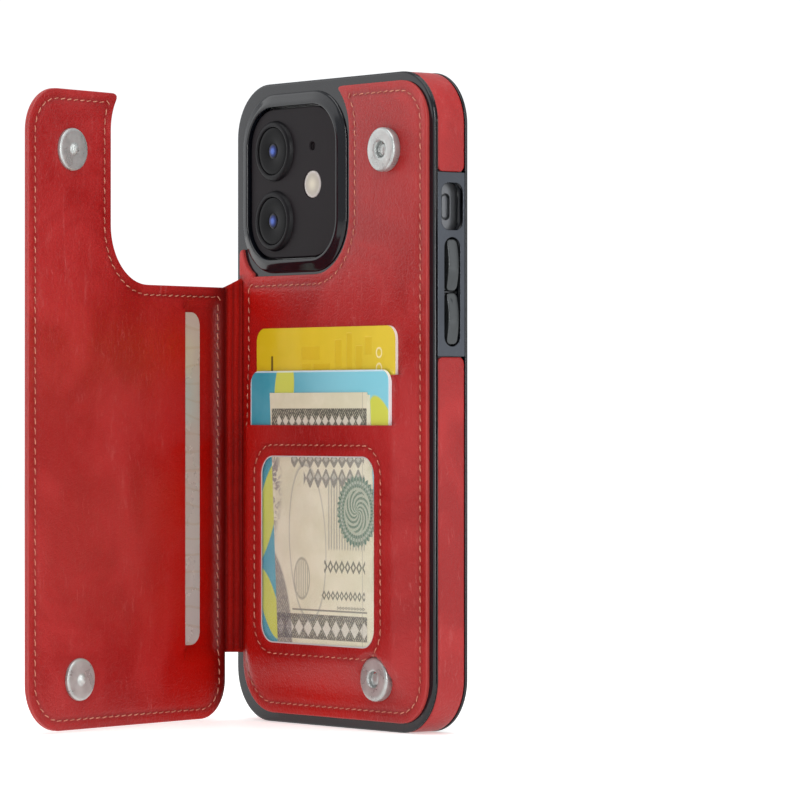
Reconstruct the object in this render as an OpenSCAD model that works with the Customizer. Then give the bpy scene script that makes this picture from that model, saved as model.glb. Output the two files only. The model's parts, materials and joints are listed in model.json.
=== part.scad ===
// Phone wallet case: a shell with a leather card panel on its back and a folding leather flap.
// Millimetres. +Z runs up the case's height and the card panel faces -Y.
// The origin is the middle of the shell's back rim, on the base that the case stands on.

/* [Phone] */
// Width of the phone that the shell holds
phone_w = 71.5; // [64:0.5:90]
// Height of the phone
phone_h = 146.7; // [138:0.5:180]
// Thickness of the phone, without its camera
phone_t = 7.4; // [6.2:0.1:9]
// Corner radius of the phone
phone_r = 11; // [8:0.5:13]
// Gap between the phone and the shell
fit = 0.1; // [0.05:0.05:0.3]

/* [Camera] */
// Width of the camera plateau
cam_w = 34; // [28:0.5:38]
// Height of the camera plateau
cam_h = 35.4; // [30:0.5:40]
// Corner radius of the camera plateau
cam_r = 9; // [6:0.5:10]
// How far the plateau stands out of the phone's back
cam_rise = 2.1; // [1.5:0.1:3]
// From the phone's side to the plateau
cam_side = 3.75; // [3.2:0.05:5]
// From the phone's top to the plateau
cam_top = 3.7; // [3.2:0.05:5]
// Radius of the collar round a lens
collar_r = 7.2; // [6.3:0.1:7.8]
// Radius of a lens glass
lens_r = 5.75; // [4.5:0.05:6]
// Distance between the two lenses
lens_pitch = 16.6; // [16.2:0.1:18]
// How far a lens collar stands out of the plateau
collar_rise = 1.1; // [0.6:0.1:1.6]
// Diameter of the flash
flash_d = 6.4; // [4:0.1:8]
// Diameter of the microphone hole
mic_d = 2.0; // [1:0.1:3]

/* [Shell] */
// Wall beside the phone
side_wall = 2.5; // [2.2:0.1:3.2]
// Wall above and below the phone
end_wall = 2.3; // [2:0.1:3]
// Wall behind the phone
back_wall = 1.65; // [1.3:0.05:2.2]
// How far the front rim stands past the screen
lip = 0.55; // [0.3:0.05:1]
// Outer corner radius of the shell
shell_r = 12.5; // [11:0.5:15]
// Width of the bare rim along the back edge
back_rim = 1.0; // [0.8:0.1:1.6]
// Depth of the front rim
front_rim_t = 0.8; // [0.6:0.1:1.2]
// Depth of the channel round the shell's sides
channel = 0.6; // [0.5:0.05:0.9]
// How far the side leather lies below the rims
leather_sink = 0.1; // [0.05:0.05:0.2]
// How far the camera surround stands up
surround_rise = 1.3; // [0.8:0.1:2]
// Width of the camera surround's flat top
surround_top = 1.2; // [0.8:0.1:1.6]
// Width of the camera surround's foot past its top
surround_foot = 2.0; // [1:0.1:2.4]
// Gap between the camera plateau and the surround
cam_gap = 0.4; // [0.2:0.05:0.8]

/* [Side openings and keys] */
// Bottom of both plated side frames, above the base
frame_z = 86; // [70:0.5:90]
// Height of the frame on the volume side
volume_frame_h = 42.1; // [41.5:0.1:46]
// Height of the frame on the power side
power_frame_h = 23.6; // [22.5:0.1:30]
// Width of a key slot
slot_w = 4.5; // [4:0.1:5]
// Length of the volume key slot
volume_slot_h = 24.8; // [20:0.1:25.5]
// Length of the power key slot
power_slot_h = 17.4; // [14:0.1:18]
// Height of the ringer window
ringer_h = 10.7; // [9:0.1:11.5]
// Width of the ringer window
ringer_w = 6.2; // [5.6:0.1:6.5]
// Distance from a frame's lower end to its key slot
slot_up = 2.4; // [2:0.1:3.5]
// Distance from the volume slot to the ringer window
window_up = 1.7; // [1.2:0.1:2.4]
// Clearance round a key
key_gap = 0.3; // [0.2:0.05:0.4]
// How far a key stands out of the side
key_proud = 0.55; // [0.3:0.05:0.9]
// Travel of a key
key_travel = 0.4; // [0.2:0.05:0.5]
// Width of the charging port opening
port_w = 13; // [10:0.5:15]
// Depth of the charging port opening
port_d = 5.4; // [4.6:0.1:5.8]
// Length of each speaker slot
speaker_w = 9; // [6:0.5:11]
// Depth of each speaker slot
speaker_d = 2.4; // [1.6:0.1:3]

/* [Card panel] */
// Thickness of the panel's leather
leather_t = 0.9; // [0.7:0.05:1.1]
// From the shell's side to the fold line of the spine
hinge_in = 3.15; // [2.9:0.05:4]
// From the shell's other side to the panel's edge
panel_in = 1.85; // [1.5:0.05:3]
// From the shell's top to the panel
panel_top_in = 2.1; // [1.6:0.1:3]
// From the shell's bottom to the panel
panel_low_in = 2.2; // [1.6:0.1:3]
// Corner radius of the panel
panel_r = 10; // [8:0.5:12]
// Inner corner radius of the camera notches
notch_r = 13.5; // [11:0.5:15]
// From the surround's foot to the side of the panel's notch
notch_side = 1.6; // [1:0.1:3]
// From the surround's foot to the bottom of the panel's notch
notch_low = 0.6; // [0.4:0.1:2]
// Height of the horn beside the notch
horn_h = 6.6; // [4:0.1:8]

/* [Pockets] */
// Width of a card
card_w = 54; // [50:0.5:56]
// Thickness of a card
card_t = 0.76; // [0.5:0.02:0.9]
// Corner radius of a card
card_r = 3.2; // [2:0.1:4]
// Play beside a card in its pocket
card_play = 0.4; // [0.2:0.05:0.6]
// Clearance over each layer in a pocket
layer_gap = 0.04; // [0.02:0.01:0.08]
// Bottom of the panel's pockets, above the base
pocket_z = 17.9; // [17.6:0.1:20]
// Height of the rear pocket, up to its slit
rear_pocket_h = 64.1; // [58:0.1:70]
// Height of the front pocket, up to its slit
front_pocket_h = 52.5; // [48:0.1:56]
// Length of the yellow card
rear_card_h = 75.3; // [70:0.1:80]
// Length of the blue card
front_card_h = 65.2; // [58:0.1:69]
// Width of the folded banknote
note_w = 38; // [30:0.5:48]
// Height of the folded banknote
note_h = 60; // [54:0.5:66]
// Thickness of the folded banknote
note_t = 0.2; // [0.1:0.05:0.4]
// Thickness of the leather strip between the two slits
band_t = 0.4; // [0.3:0.05:0.6]
// Thickness of the front pocket's leather
pocket_t = 0.5; // [0.4:0.05:0.7]
// Width of the clear window
window_w = 44.1; // [36:0.1:48]
// Height of the clear window
window_h = 44.2; // [36:0.1:46]
// Corner radius of the window
window_r = 4.5; // [3:0.5:8]
// Thickness of the window film
film_t = 0.15; // [0.1:0.01:0.25]
// How far the film reaches past the window
film_lap = 1.0; // [0.6:0.1:1.1]

/* [Flap] */
// Angle between the panel and the flap as shown, 0 when closed
open_angle = 74.2; // [0:0.1:180]
// Width of the spine between its two fold lines
spine_w = 4.4; // [4.3:0.05:6]
// Thickness of the spine's leather
spine_t = 0.7; // [0.5:0.05:0.8]
// How far the flap reaches past the panel's edge
flap_over = 0.3; // [0:0.1:1.5]
// Bottom edge of the flap, above the base
flap_low = 0.5; // [0.3:0.1:3]
// From the shell's top to the flap's top edge
flap_top_in = 4; // [2:0.1:8]
// Thickness of the flap's inner leather
inner_t = 0.55; // [0.4:0.05:0.7]
// Thickness of the flap's outer leather
outer_t = 0.75; // [0.5:0.05:0.9]
// Thickness of the foam in the flap
foam_t = 1.2; // [0.6:0.1:3]
// Thickness of the board in the flap
board_t = 0.4; // [0.3:0.05:0.8]
// Width of the stitched border round the padding
border = 4.6; // [3.5:0.1:6]
// Width of that border along the spine
spine_border = 2.0; // [1.8:0.1:3]
// From the fold line to the slit of the flap's pocket
flap_slit = 15.2; // [14:0.1:20]
// How far the flap's card stands out of its slit
flap_card_out = 5.6; // [3:0.1:6]
// Length of the flap's card
flap_card_h = 78.9; // [70:0.1:80]

/* [Magnetic snaps] */
// Radius of a snap socket on the panel
socket_r = 5.1; // [4:0.1:5.1]
// How far a socket stands out of the leather
socket_rise = 2.1; // [1.5:0.1:2.2]
// Radius of the hole in a socket
socket_hole_r = 1.9; // [1.6:0.1:2.2]
// Radius of a snap plate on the flap
plate_r = 4.9; // [4:0.1:5.1]
// How far a snap plate stands out of the leather
plate_rise = 0.9; // [0.5:0.1:1]
// Radius of the stud on a snap plate
stud_r = 1.1; // [0.8:0.1:1.2]
// How far the stud stands out of its plate
stud_rise = 0.8; // [0.4:0.1:1]
// How far the upper snap lies off the middle of the strip beside the camera
upper_snap_off = 0; // [-1:0.1:1]
// From the panel's edge to the lower snap
lower_snap_in = 17.3; // [12:0.1:20]
// From the shell's top to the upper snap
upper_snap_down = 17.8; // [14:0.1:24]
// Height of the lower snap above the base
lower_snap_z = 12.0; // [10:0.1:12.2]

/* [Hidden] */
$fn = 64;

// Shell and phone
shell_w = phone_w + 2 * (fit + side_wall);
shell_h = phone_h + 2 * (fit + end_wall);
shell_t = back_wall + fit + phone_t + lip;
phone_y = back_wall + fit;
phone_z = end_wall + fit;
front_rim_y = shell_t - front_rim_t;
strip_gap = 0.02;
glass_t = 0.7;
core_gap = 0.3;
band_wall = 3.2;
side_x = shell_w / 2;
cut = 60;

// Camera
cam_x0 = -phone_w / 2 + cam_side;
cam_x1 = cam_x0 + cam_w;
cam_z1 = phone_z + phone_h - cam_top;
cam_z0 = cam_z1 - cam_h;
cam_face_y = phone_y - cam_rise;
lens_in = 9.7;
lens_down = 10;
flash_in = 9.6;
flash_down = 18.4;
mic_down = 9.4;
lens_x = cam_x0 + lens_in;
lens_z = cam_z1 - lens_down;
flash_x = cam_x1 - flash_in;
flash_z = cam_z1 - flash_down;
mic_z = cam_z1 - mic_down;
flash_t = 0.5;
mic_depth = 0.8;
foot_gap = cam_gap + surround_top + surround_foot;
foot_x1 = cam_x1 + foot_gap;
foot_z0 = cam_z0 - foot_gap;
foot_z1 = cam_z1 + foot_gap;
foot_step = 0.5;

// Side frames and keys
key_back = 0.15;
key_y = back_wall + fit + phone_t / 2 - key_back;
frame_t = channel - leather_sink / 2;
volume_slot_z = frame_z + slot_up;
ringer_z = volume_slot_z + volume_slot_h + window_up;
ringer_r = 2.2;
power_slot_z = frame_z + slot_up;
key_w = slot_w - 2 * key_gap;
key_rest = 0.15;
key_in_x = phone_w / 2 + key_travel + key_rest;
key_out_x = side_x + key_proud;
key_split = 0.3;
key_crown = 0.4;
switch_w = 1.2;
switch_h = 5.2;
switch_t = 1.0;
switch_play = 0.1;
switch_end = 0.4;
switch_back = 0.2;
switch_travel = 1.0;
speaker_gap = 3.5;
speaker_x = port_w / 2 + speaker_gap;
plug_w = 8.8;
plug_d = 2.8;
plug_depth = 2.4;

// Card panel
hinge_x = -side_x + hinge_in;
edge_off = 0.5;
panel_x0 = hinge_x + edge_off;
panel_x1 = side_x - panel_in;
panel_z1 = shell_h - panel_top_in;
panel_mid = (panel_x0 + panel_x1) / 2;
low_r = panel_r + 2;
notch_x1 = foot_x1 + notch_side;
notch_z0 = foot_z0 - notch_low;
notch_top = 3.4;
notch_z1 = foot_z1 + notch_top;
horn_w = 5.5;
horn_out = 1.0;
horn_tip_r = 1.2;
horn_curve_x = 3.2;
horn_curve_r = horn_h + 0.9;
spine_z0 = 16;
spine_z1 = notch_z0 - 1.2;

// Layers of the pockets, counted outwards from the shell's back
rear_card_y = leather_t + layer_gap;
band_y = rear_card_y + card_t + layer_gap;
front_card_y = band_y + band_t + layer_gap;
note_y = front_card_y + card_t + layer_gap;
film_y = note_y + note_t + layer_gap;
pocket_y = film_y + pocket_t;
slit_rear_z = pocket_z + rear_pocket_h;
slit_front_z = pocket_z + front_pocket_h;
pocket_wall = 0.5;
rear_card_in = 1.8;
front_card_in = 2.55;
window_sill = 1.1;
rear_card_x = panel_mid - rear_card_in;
front_card_x = panel_mid - front_card_in;
note_x = front_card_x;
window_x = front_card_x;
window_z = pocket_z + window_sill;
pocket_x0 = front_card_x - card_w / 2 - card_play;
pocket_x1 = rear_card_x + card_w / 2 + card_play;
card_rest = 0.1;
small_gap = 0.1;
half_gap = 0.05;

// Flap, laid out closed over the panel
fold = open_angle / 2;
hinge_y = -leather_t / 2;
flap_hinge_y = hinge_y - spine_w;
flap_mid = (inner_t + outer_t) / 2;
inner_y = -flap_hinge_y - flap_mid;
outer_y = inner_y + inner_t;
flap_x0 = hinge_x + edge_off;
flap_x1 = panel_x1 + flap_over;
flap_z1 = shell_h - flap_top_in;
flap_low_r = 11;
flap_spine_r = 9;
flap_notch_x1 = notch_x1 + 0.5;
flap_notch_z0 = notch_z0 - 2.5;
flap_notch_z1 = notch_z1;
flap_card_y = outer_y + half_gap;
bay_floor_y = flap_card_y + card_t + half_gap;
bay_wall = 0.4;
bay_x0 = flap_x0 + spine_border + outer_t + small_gap + bay_wall;
slit_x = hinge_x + flap_slit;
flap_card_x0 = slit_x - flap_card_out;
bay_play = 0.3;
bay_z1 = flap_notch_z0 - border - outer_t - small_gap - bay_wall;
flap_card_z = bay_z1 - bay_play - flap_card_h;
board_y = bay_floor_y + layer_gap;
foam_y = bay_floor_y + inner_t + layer_gap;
outer_in_y = foam_y + foam_t + half_gap;

// Magnetic snaps
upper_snap = [(notch_x1 + panel_x1) / 2 + upper_snap_off, shell_h - upper_snap_down];
lower_snap = [panel_x1 - lower_snap_in, lower_snap_z];
cap_t = 0.3;
pin_r = 0.8;
washer_t = 0.3;
washer_r = 3.2;
snap_fit = 0.05;

// Everything is drawn with y = 0 on the shell's back face, and this sets it on the origin
module placed() {
    translate([0, -back_rim / 2, 0]) children();
}

// A flat shape in x and z, from y = a to y = b
module slab(a, b) {
    translate([0, b, 0]) rotate([90, 0, 0]) linear_extrude(b - a) children();
}

// A layer counted outwards from the shell's back face
module layer(a, b) {
    slab(-b, -a) children();
}

// A flat shape in y and z, from x = a to x = b
module side_slab(a, b) {
    translate([a, 0, 0]) rotate([90, 0, 90]) linear_extrude(b - a) children();
}

// A rectangle from corner to corner whose four corners have their own radii
// (lower left, lower right, upper right, upper left)
module rounded(x0, z0, x1, z1, radii) {
    corners = [[x0, z0], [x1, z0], [x1, z1], [x0, z1]];
    inward = [[1, 1], [-1, 1], [-1, -1], [1, -1]];
    difference() {
        translate([x0, z0]) square([x1 - x0, z1 - z0]);
        for (i = [0 : 3])
            translate(corners[i] + inward[i] * radii[i] / 2)
                square(radii[i] + 0.001, center = true);
    }
    for (i = [0 : 3])
        intersection() {
            translate(corners[i] + inward[i] * radii[i]) circle(radii[i]);
            translate(corners[i] + inward[i] * radii[i] / 2)
                square(radii[i] + 0.01, center = true);
        }
}

module box(x0, z0, x1, z1, r) {
    rounded(x0, z0, x1, z1, [r, r, r, r]);
}

// A pill standing on its lower end
module pill(y, z, w, h) {
    box(y - w / 2, z, y + w / 2, z + h, w / 2 - 0.01);
}

// The shell's outline, drawn in by a distance
module shell_outline(inset) {
    box(-side_x + inset, inset, side_x - inset, shell_h - inset, shell_r - inset);
}

// The phone's outline, grown by a distance
module phone_outline(grow) {
    box(-phone_w / 2 - grow, phone_z - grow, phone_w / 2 + grow,
        phone_z + phone_h + grow, phone_r + grow);
}

// The camera plateau's outline, grown by a distance
module cam_outline(grow) {
    box(cam_x0 - grow, cam_z0 - grow, cam_x1 + grow, cam_z1 + grow, cam_r + grow);
}

module side_openings() {
    side_slab(phone_w / 2 - 1, side_x + 1) {
        pill(key_y, volume_slot_z, slot_w, volume_slot_h);
        box(key_y - ringer_w / 2, ringer_z, key_y + ringer_w / 2, ringer_z + ringer_h, ringer_r);
    }
    side_slab(-side_x - 1, -phone_w / 2 + 1)
        pill(key_y, power_slot_z, slot_w, power_slot_h);
}

module bottom_openings() {
    translate([0, 0, -1]) linear_extrude(end_wall + 2) {
        box(-port_w / 2, key_y - port_d / 2, port_w / 2, key_y + port_d / 2, port_d / 2 - 0.01);
        for (s = [-1, 1])
            translate([s * (speaker_x + speaker_w / 2), key_y])
                box(-speaker_w / 2, -speaker_d / 2, speaker_w / 2, speaker_d / 2,
                    speaker_d / 2 - 0.01);
    }
}

module shell_tray() color([0.07, 0.07, 0.08]) placed()
    difference() {
        union() {
            slab(0, back_rim) shell_outline(0);
            slab(back_rim, front_rim_y) shell_outline(channel);
        }
        slab(back_wall, shell_t) phone_outline(fit);
        slab(-1, back_wall + 1) cam_outline(cam_gap);
        side_openings();
        bottom_openings();
    }

module front_rim() color([0.05, 0.05, 0.06]) placed()
    slab(front_rim_y + strip_gap, shell_t)
        difference() {
            shell_outline(0);
            phone_outline(fit);
        }

module camera_surround() color([0.04, 0.04, 0.05]) placed() {
    layer(0, foot_step)
        difference() {
            cam_outline(foot_gap);
            cam_outline(cam_gap);
        }
    layer(foot_step, surround_rise)
        difference() {
            cam_outline(cam_gap + surround_top);
            cam_outline(cam_gap);
        }
}

// What lies in the side channel, from its floor up to a sink below the rims
module channel_band(sink) {
    slab(back_rim + strip_gap, front_rim_y - strip_gap)
        difference() {
            shell_outline(sink);
            shell_outline(channel - strip_gap);
        }
}

// The space between two heights on one side of the case, 1 for +X and -1 for -X
module side_zone(s, z0, z1) {
    translate([s > 0 ? 0 : -cut, -1, z0]) cube([cut, shell_t + 2, z1 - z0]);
}

module volume_side_frame() color([0.30, 0.31, 0.34]) placed()
    difference() {
        intersection() {
            channel_band(channel - frame_t);
            side_zone(1, frame_z + strip_gap, frame_z + volume_frame_h - strip_gap);
        }
        side_openings();
    }

module power_side_frame() color([0.30, 0.31, 0.34]) placed()
    difference() {
        intersection() {
            channel_band(channel - frame_t);
            side_zone(-1, frame_z + strip_gap, frame_z + power_frame_h - strip_gap);
        }
        side_openings();
    }

module upper_side_leather() color([0.72, 0.08, 0.07]) placed()
    intersection() {
        channel_band(leather_sink);
        union() {
            side_zone(1, frame_z + volume_frame_h, shell_h + 1);
            side_zone(-1, frame_z + power_frame_h, shell_h + 1);
        }
    }

module lower_side_leather() color([0.72, 0.08, 0.07]) placed()
    difference() {
        intersection() {
            channel_band(leather_sink);
            union() {
                side_zone(1, -1, frame_z);
                side_zone(-1, -1, frame_z);
            }
        }
        bottom_openings();
    }

// A crowned key on the +X side between two heights, made of a stem and a rounded cap
module key(z0, z1) {
    cap_x = side_x - 0.1;
    side_slab(key_in_x, cap_x) pill(key_y, z0, key_w, z1 - z0);
    side_slab(cap_x, key_out_x)
        pill(key_y, z0 + key_crown, key_w - 2 * key_crown, z1 - z0 - 2 * key_crown);
}

module volume_up_key() color([0.2, 0.2, 0.22]) placed()
    key(volume_slot_z + (volume_slot_h + key_split) / 2,
        volume_slot_z + volume_slot_h - key_gap);

module volume_down_key() color([0.2, 0.2, 0.22]) placed()
    key(volume_slot_z + key_gap, volume_slot_z + (volume_slot_h - key_split) / 2);

module power_key() color([0.2, 0.2, 0.22]) placed()
    mirror([1, 0, 0]) key(power_slot_z + key_gap, power_slot_z + power_slot_h - key_gap);

// The space that a camera takes out of a leather piece
module notch(x1, z0, z1, grow) {
    rounded(-cut, z0 - grow, x1 + grow, z1 + grow,
        [0.01, notch_r + grow, notch_r + grow, 0.01]);
}

// The horn of leather beside the notch, above the top of the spine
module horn() {
    x0 = hinge_x - horn_out;
    difference() {
        rounded(x0, notch_z0 - 1, x0 + horn_w, notch_z0 + horn_h,
            [0.01, 0.01, horn_tip_r, horn_tip_r]);
        translate([x0 + horn_w + horn_curve_x, notch_z0 + horn_curve_r]) circle(horn_curve_r);
    }
}

module panel_outline() {
    difference() {
        rounded(panel_x0, panel_low_in, panel_x1, panel_z1,
            [low_r, panel_r, panel_r, 0.01]);
        notch(notch_x1, notch_z0, notch_z1, 0);
    }
    horn();
}

// The outside of the pockets, up to a height
module pocket_block(z1) {
    rounded(pocket_x0 - pocket_wall, pocket_z - pocket_wall, pocket_x1 + pocket_wall, z1,
        [pocket_wall, pocket_wall, 0.01, 0.01]);
}

// The inside of the pockets, up to a height
module pocket_space(z1) {
    translate([pocket_x0, pocket_z]) square([pocket_x1 - pocket_x0, z1 - pocket_z]);
}

module window_shape(grow) {
    box(window_x - window_w / 2 - grow, window_z - grow, window_x + window_w / 2 + grow,
        window_z + window_h + grow, window_r + grow);
}

module snap_holes(r, depth, from) {
    for (p = [upper_snap, lower_snap])
        translate([p[0], -from, p[1]]) rotate([90, 0, 0]) cylinder(r = r, h = depth);
}

module panel_leather() color([0.75, 0.09, 0.08]) placed()
    difference() {
        union() {
            layer(0, leather_t) panel_outline();
            layer(leather_t, band_y + band_t) pocket_block(slit_rear_z);
            layer(leather_t, pocket_y) pocket_block(slit_front_z);
        }
        layer(leather_t, film_y) pocket_space(slit_front_z);
        layer(leather_t, band_y) pocket_space(slit_rear_z + 1);
        layer(band_y + band_t, film_y) pocket_space(slit_rear_z + 1);
        layer(film_y - 0.1, pocket_y + 1) window_shape(0);
        layer(film_y - 0.1, film_y + film_t) window_shape(film_lap);
        snap_holes(pin_r + snap_fit, 2, -1);
        snap_holes(washer_r + snap_fit, washer_t + snap_fit, 0);
    }

module pocket_divider() color([0.35, 0.05, 0.05]) placed()
    layer(band_y + strip_gap, band_y + band_t - strip_gap)
        translate([pocket_x0 + small_gap, pocket_z + small_gap])
            square([pocket_x1 - pocket_x0 - 2 * small_gap,
                slit_front_z - pocket_z - 2 * small_gap]);

module window_film() color([0.85, 0.88, 0.9, 0.35]) placed()
    layer(film_y + 0.005, film_y + film_t - 0.005) window_shape(film_lap - 0.05);

// A snap socket on the panel: a plated cap, open at its middle, over a ring magnet
module socket(p) {
    translate([p[0], -leather_t, p[1]]) rotate([90, 0, 0])
        difference() {
            cylinder(r = socket_r, h = socket_rise);
            translate([0, 0, cap_t])
                cylinder(r = socket_r - cap_t, h = socket_rise - 2 * cap_t);
            translate([0, 0, cap_t]) cylinder(r = socket_hole_r, h = socket_rise);
        }
    translate([p[0], 0, p[1]]) rotate([90, 0, 0])
        cylinder(r = pin_r, h = leather_t + cap_t);
}

module ring_magnet(p) {
    translate([p[0], -leather_t - cap_t - 0.02, p[1]]) rotate([90, 0, 0])
        difference() {
            cylinder(r = socket_r - cap_t - 0.05, h = socket_rise - 2 * cap_t - 0.04);
            translate([0, 0, -1]) cylinder(r = socket_hole_r, h = socket_rise + 1);
        }
}

module washer(p, y) {
    translate([p[0], -y, p[1]]) rotate([90, 0, 0])
        difference() {
            cylinder(r = washer_r, h = washer_t - 0.02);
            translate([0, 0, -1]) cylinder(r = pin_r + snap_fit, h = washer_t + 2);
        }
}

module upper_snap_socket() color([0.72, 0.72, 0.74]) placed() socket(upper_snap);

module lower_snap_socket() color([0.72, 0.72, 0.74]) placed() socket(lower_snap);

module upper_ring_magnet() color([0.25, 0.25, 0.27]) placed() ring_magnet(upper_snap);

module lower_ring_magnet() color([0.25, 0.25, 0.27]) placed() ring_magnet(lower_snap);

module socket_washers() color([0.5, 0.5, 0.52]) placed() {
    washer(upper_snap, 0.01);
    washer(lower_snap, 0.01);
}

// Turns a piece that is drawn closed about the spine's first fold line
module spine_pose() {
    translate([hinge_x, hinge_y, 0]) rotate([0, 0, -fold])
        translate([-hinge_x, -hinge_y, 0]) children();
}

// Turns a piece that is drawn closed about both fold lines
module flap_pose() {
    spine_pose()
        translate([hinge_x, flap_hinge_y, 0]) rotate([0, 0, -fold])
            translate([-hinge_x, -flap_hinge_y, 0]) children();
}

module spine_leather() color([0.62, 0.07, 0.06]) placed() spine_pose()
    translate([hinge_x - spine_t / 2, flap_hinge_y + 0.2, spine_z0])
        cube([spine_t, spine_w - 0.4, spine_z1 - spine_z0]);

// The flap's outline, drawn in by a border and by another one along the spine
module flap_outline(inset, spine_inset) {
    difference() {
        rounded(flap_x0 + spine_inset, flap_low + inset, flap_x1 - inset, flap_z1 - inset,
            [flap_spine_r - inset, flap_low_r - inset, panel_r - inset, 0.01]);
        notch(flap_notch_x1, flap_notch_z0, flap_notch_z1, inset);
    }
}

// The pocket of the flap, from x = a to x = b, with a play round the card's two ends
module flap_bay(a, b, play) {
    box(a, flap_card_z - play, b, flap_card_z + flap_card_h + play, 0.3);
}

module flap_outer_leather() color([0.72, 0.08, 0.07]) placed() flap_pose()
    difference() {
        union() {
            layer(outer_y, outer_y + outer_t) flap_outline(0, 0);
            layer(outer_y, outer_in_y + outer_t) flap_outline(border, spine_border);
        }
        layer(outer_y - 1, outer_in_y)
            flap_outline(border + outer_t, spine_border + outer_t);
    }

module flap_foam() color([0.85, 0.83, 0.75]) placed() flap_pose()
    layer(foam_y, foam_y + foam_t)
        flap_outline(border + outer_t + 0.1, spine_border + outer_t + 0.1);

module flap_board() color([0.55, 0.5, 0.42]) placed() flap_pose()
    layer(board_y, board_y + board_t)
        intersection() {
            flap_outline(border + outer_t + 0.1, spine_border + outer_t + 0.1);
            translate([slit_x + bay_wall + 0.2, 0]) square([cut * 2, cut * 4]);
        }

module flap_inner_leather() color([0.75, 0.09, 0.08]) placed() flap_pose()
    difference() {
        union() {
            layer(inner_y, outer_y - 0.01) flap_outline(0, 0);
            layer(inner_y, foam_y - 0.04)
                flap_bay(bay_x0 - bay_wall, slit_x + bay_wall, bay_play + bay_wall);
        }
        layer(inner_y - 1, bay_floor_y) flap_bay(bay_x0, slit_x, bay_play);
        layer(outer_y, bay_floor_y) flap_bay(bay_x0, slit_x + 1, bay_play);
        snap_holes(pin_r + snap_fit, inner_t + 1, inner_y - 0.5);
    }

// A snap plate on the flap, with the stud that enters the socket
module snap_plate(p) {
    translate([p[0], -inner_y, p[1]]) rotate([-90, 0, 0]) {
        cylinder(r = plate_r, h = plate_rise);
        cylinder(r = stud_r, h = plate_rise + stud_rise);
    }
    translate([p[0], -inner_y, p[1]]) rotate([90, 0, 0])
        cylinder(r = pin_r, h = inner_t + washer_t + 0.03);
}

module upper_snap_plate() color([0.75, 0.75, 0.77]) placed() flap_pose()
    snap_plate(upper_snap);

module lower_snap_plate() color([0.75, 0.75, 0.77]) placed() flap_pose()
    snap_plate(lower_snap);

module plate_washers() color([0.5, 0.5, 0.52]) placed() flap_pose() {
    washer(upper_snap, outer_y + 0.01);
    washer(lower_snap, outer_y + 0.01);
}

// The phone: a band round the edge, glass on both faces and a block for what is inside
module phone_band() color([0.25, 0.25, 0.27]) placed()
    difference() {
        slab(phone_y + glass_t, phone_y + phone_t - glass_t) phone_outline(0);
        slab(phone_y - 1, phone_y + phone_t + 1) phone_outline(-band_wall);
        switch_slot();
        translate([0, 0, phone_z - 1]) linear_extrude(plug_depth + 1)
            box(-plug_w / 2, key_y - plug_d / 2, plug_w / 2, key_y + plug_d / 2,
                plug_d / 2 - 0.01);
    }

// The slot in the band that the ringer switch slides in
module switch_slot() {
    half_w = (switch_w + switch_travel) / 2;
    half_h = switch_h / 2 + switch_end;
    mid_z = ringer_z + ringer_h / 2;
    side_slab(phone_w / 2 - switch_t - switch_back, phone_w / 2 + 1)
        box(key_y - half_w - switch_play, mid_z - half_h, key_y + half_w + switch_play,
            mid_z + half_h, half_w);
}

module ringer_switch() color([0.45, 0.45, 0.48]) placed()
    side_slab(phone_w / 2 - switch_t, phone_w / 2)
        pill(key_y - switch_travel / 2, ringer_z + (ringer_h - switch_h) / 2, switch_w, switch_h);

module phone_back_glass() color([0.16, 0.15, 0.17]) placed()
    slab(phone_y, phone_y + glass_t - 0.01)
        difference() {
            phone_outline(-0.1);
            cam_outline(0.05);
        }

module phone_screen() color([0.02, 0.02, 0.03]) placed()
    slab(phone_y + phone_t - glass_t + 0.01, phone_y + phone_t) phone_outline(-0.1);

module phone_core() color([0.3, 0.3, 0.32]) placed()
    slab(phone_y + glass_t + core_gap, phone_y + phone_t - glass_t - core_gap)
        phone_outline(-band_wall - core_gap);

module camera_plateau() color([0.19, 0.17, 0.18]) placed()
    difference() {
        slab(cam_face_y, phone_y + glass_t - 0.02) cam_outline(0);
        translate([flash_x, cam_face_y - 1, flash_z]) rotate([-90, 0, 0])
            cylinder(d = flash_d + 0.1, h = 1 + flash_t);
        translate([flash_x, cam_face_y - 1, mic_z]) rotate([-90, 0, 0])
            cylinder(d = mic_d, h = 1 + mic_depth);
    }

module at_lenses() {
    for (i = [0, 1])
        translate([lens_x, cam_face_y - 0.01, lens_z - i * lens_pitch]) rotate([90, 0, 0])
            children();
}

module lens_collars() color([0.1, 0.1, 0.11]) placed() at_lenses()
    difference() {
        cylinder(r = collar_r, h = collar_rise);
        translate([0, 0, -1]) cylinder(r = lens_r + 0.02, h = collar_rise + 2);
    }

module lens_glasses() color([0.02, 0.02, 0.05]) placed() at_lenses()
    cylinder(r = lens_r, h = collar_rise - 0.2);

module camera_flash() color([0.93, 0.88, 0.72]) placed()
    translate([flash_x, cam_face_y, flash_z]) rotate([-90, 0, 0])
        cylinder(d = flash_d, h = flash_t - 0.01);

// A card standing in a pocket: centre, bottom, size and depth of its inner face
module card(x, z, w, h, y, t, r) {
    layer(y, y + t) box(x - w / 2, z, x + w / 2, z + h, r);
}

module yellow_card() color([0.93, 0.72, 0.12]) placed()
    card(rear_card_x, pocket_z + card_rest, card_w, rear_card_h, rear_card_y, card_t, card_r);

module blue_card() color([0.2, 0.6, 0.82]) placed()
    card(front_card_x, pocket_z + card_rest, card_w, front_card_h, front_card_y, card_t, card_r);

module banknote() color([0.82, 0.82, 0.72]) placed()
    card(note_x, pocket_z + card_rest, note_w, note_h, note_y, note_t, 0.3);

module flap_card() color([0.86, 0.86, 0.88]) placed() flap_pose()
    card(flap_card_x0 + card_w / 2, flap_card_z, card_w, flap_card_h, flap_card_y, card_t, card_r);

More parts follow.
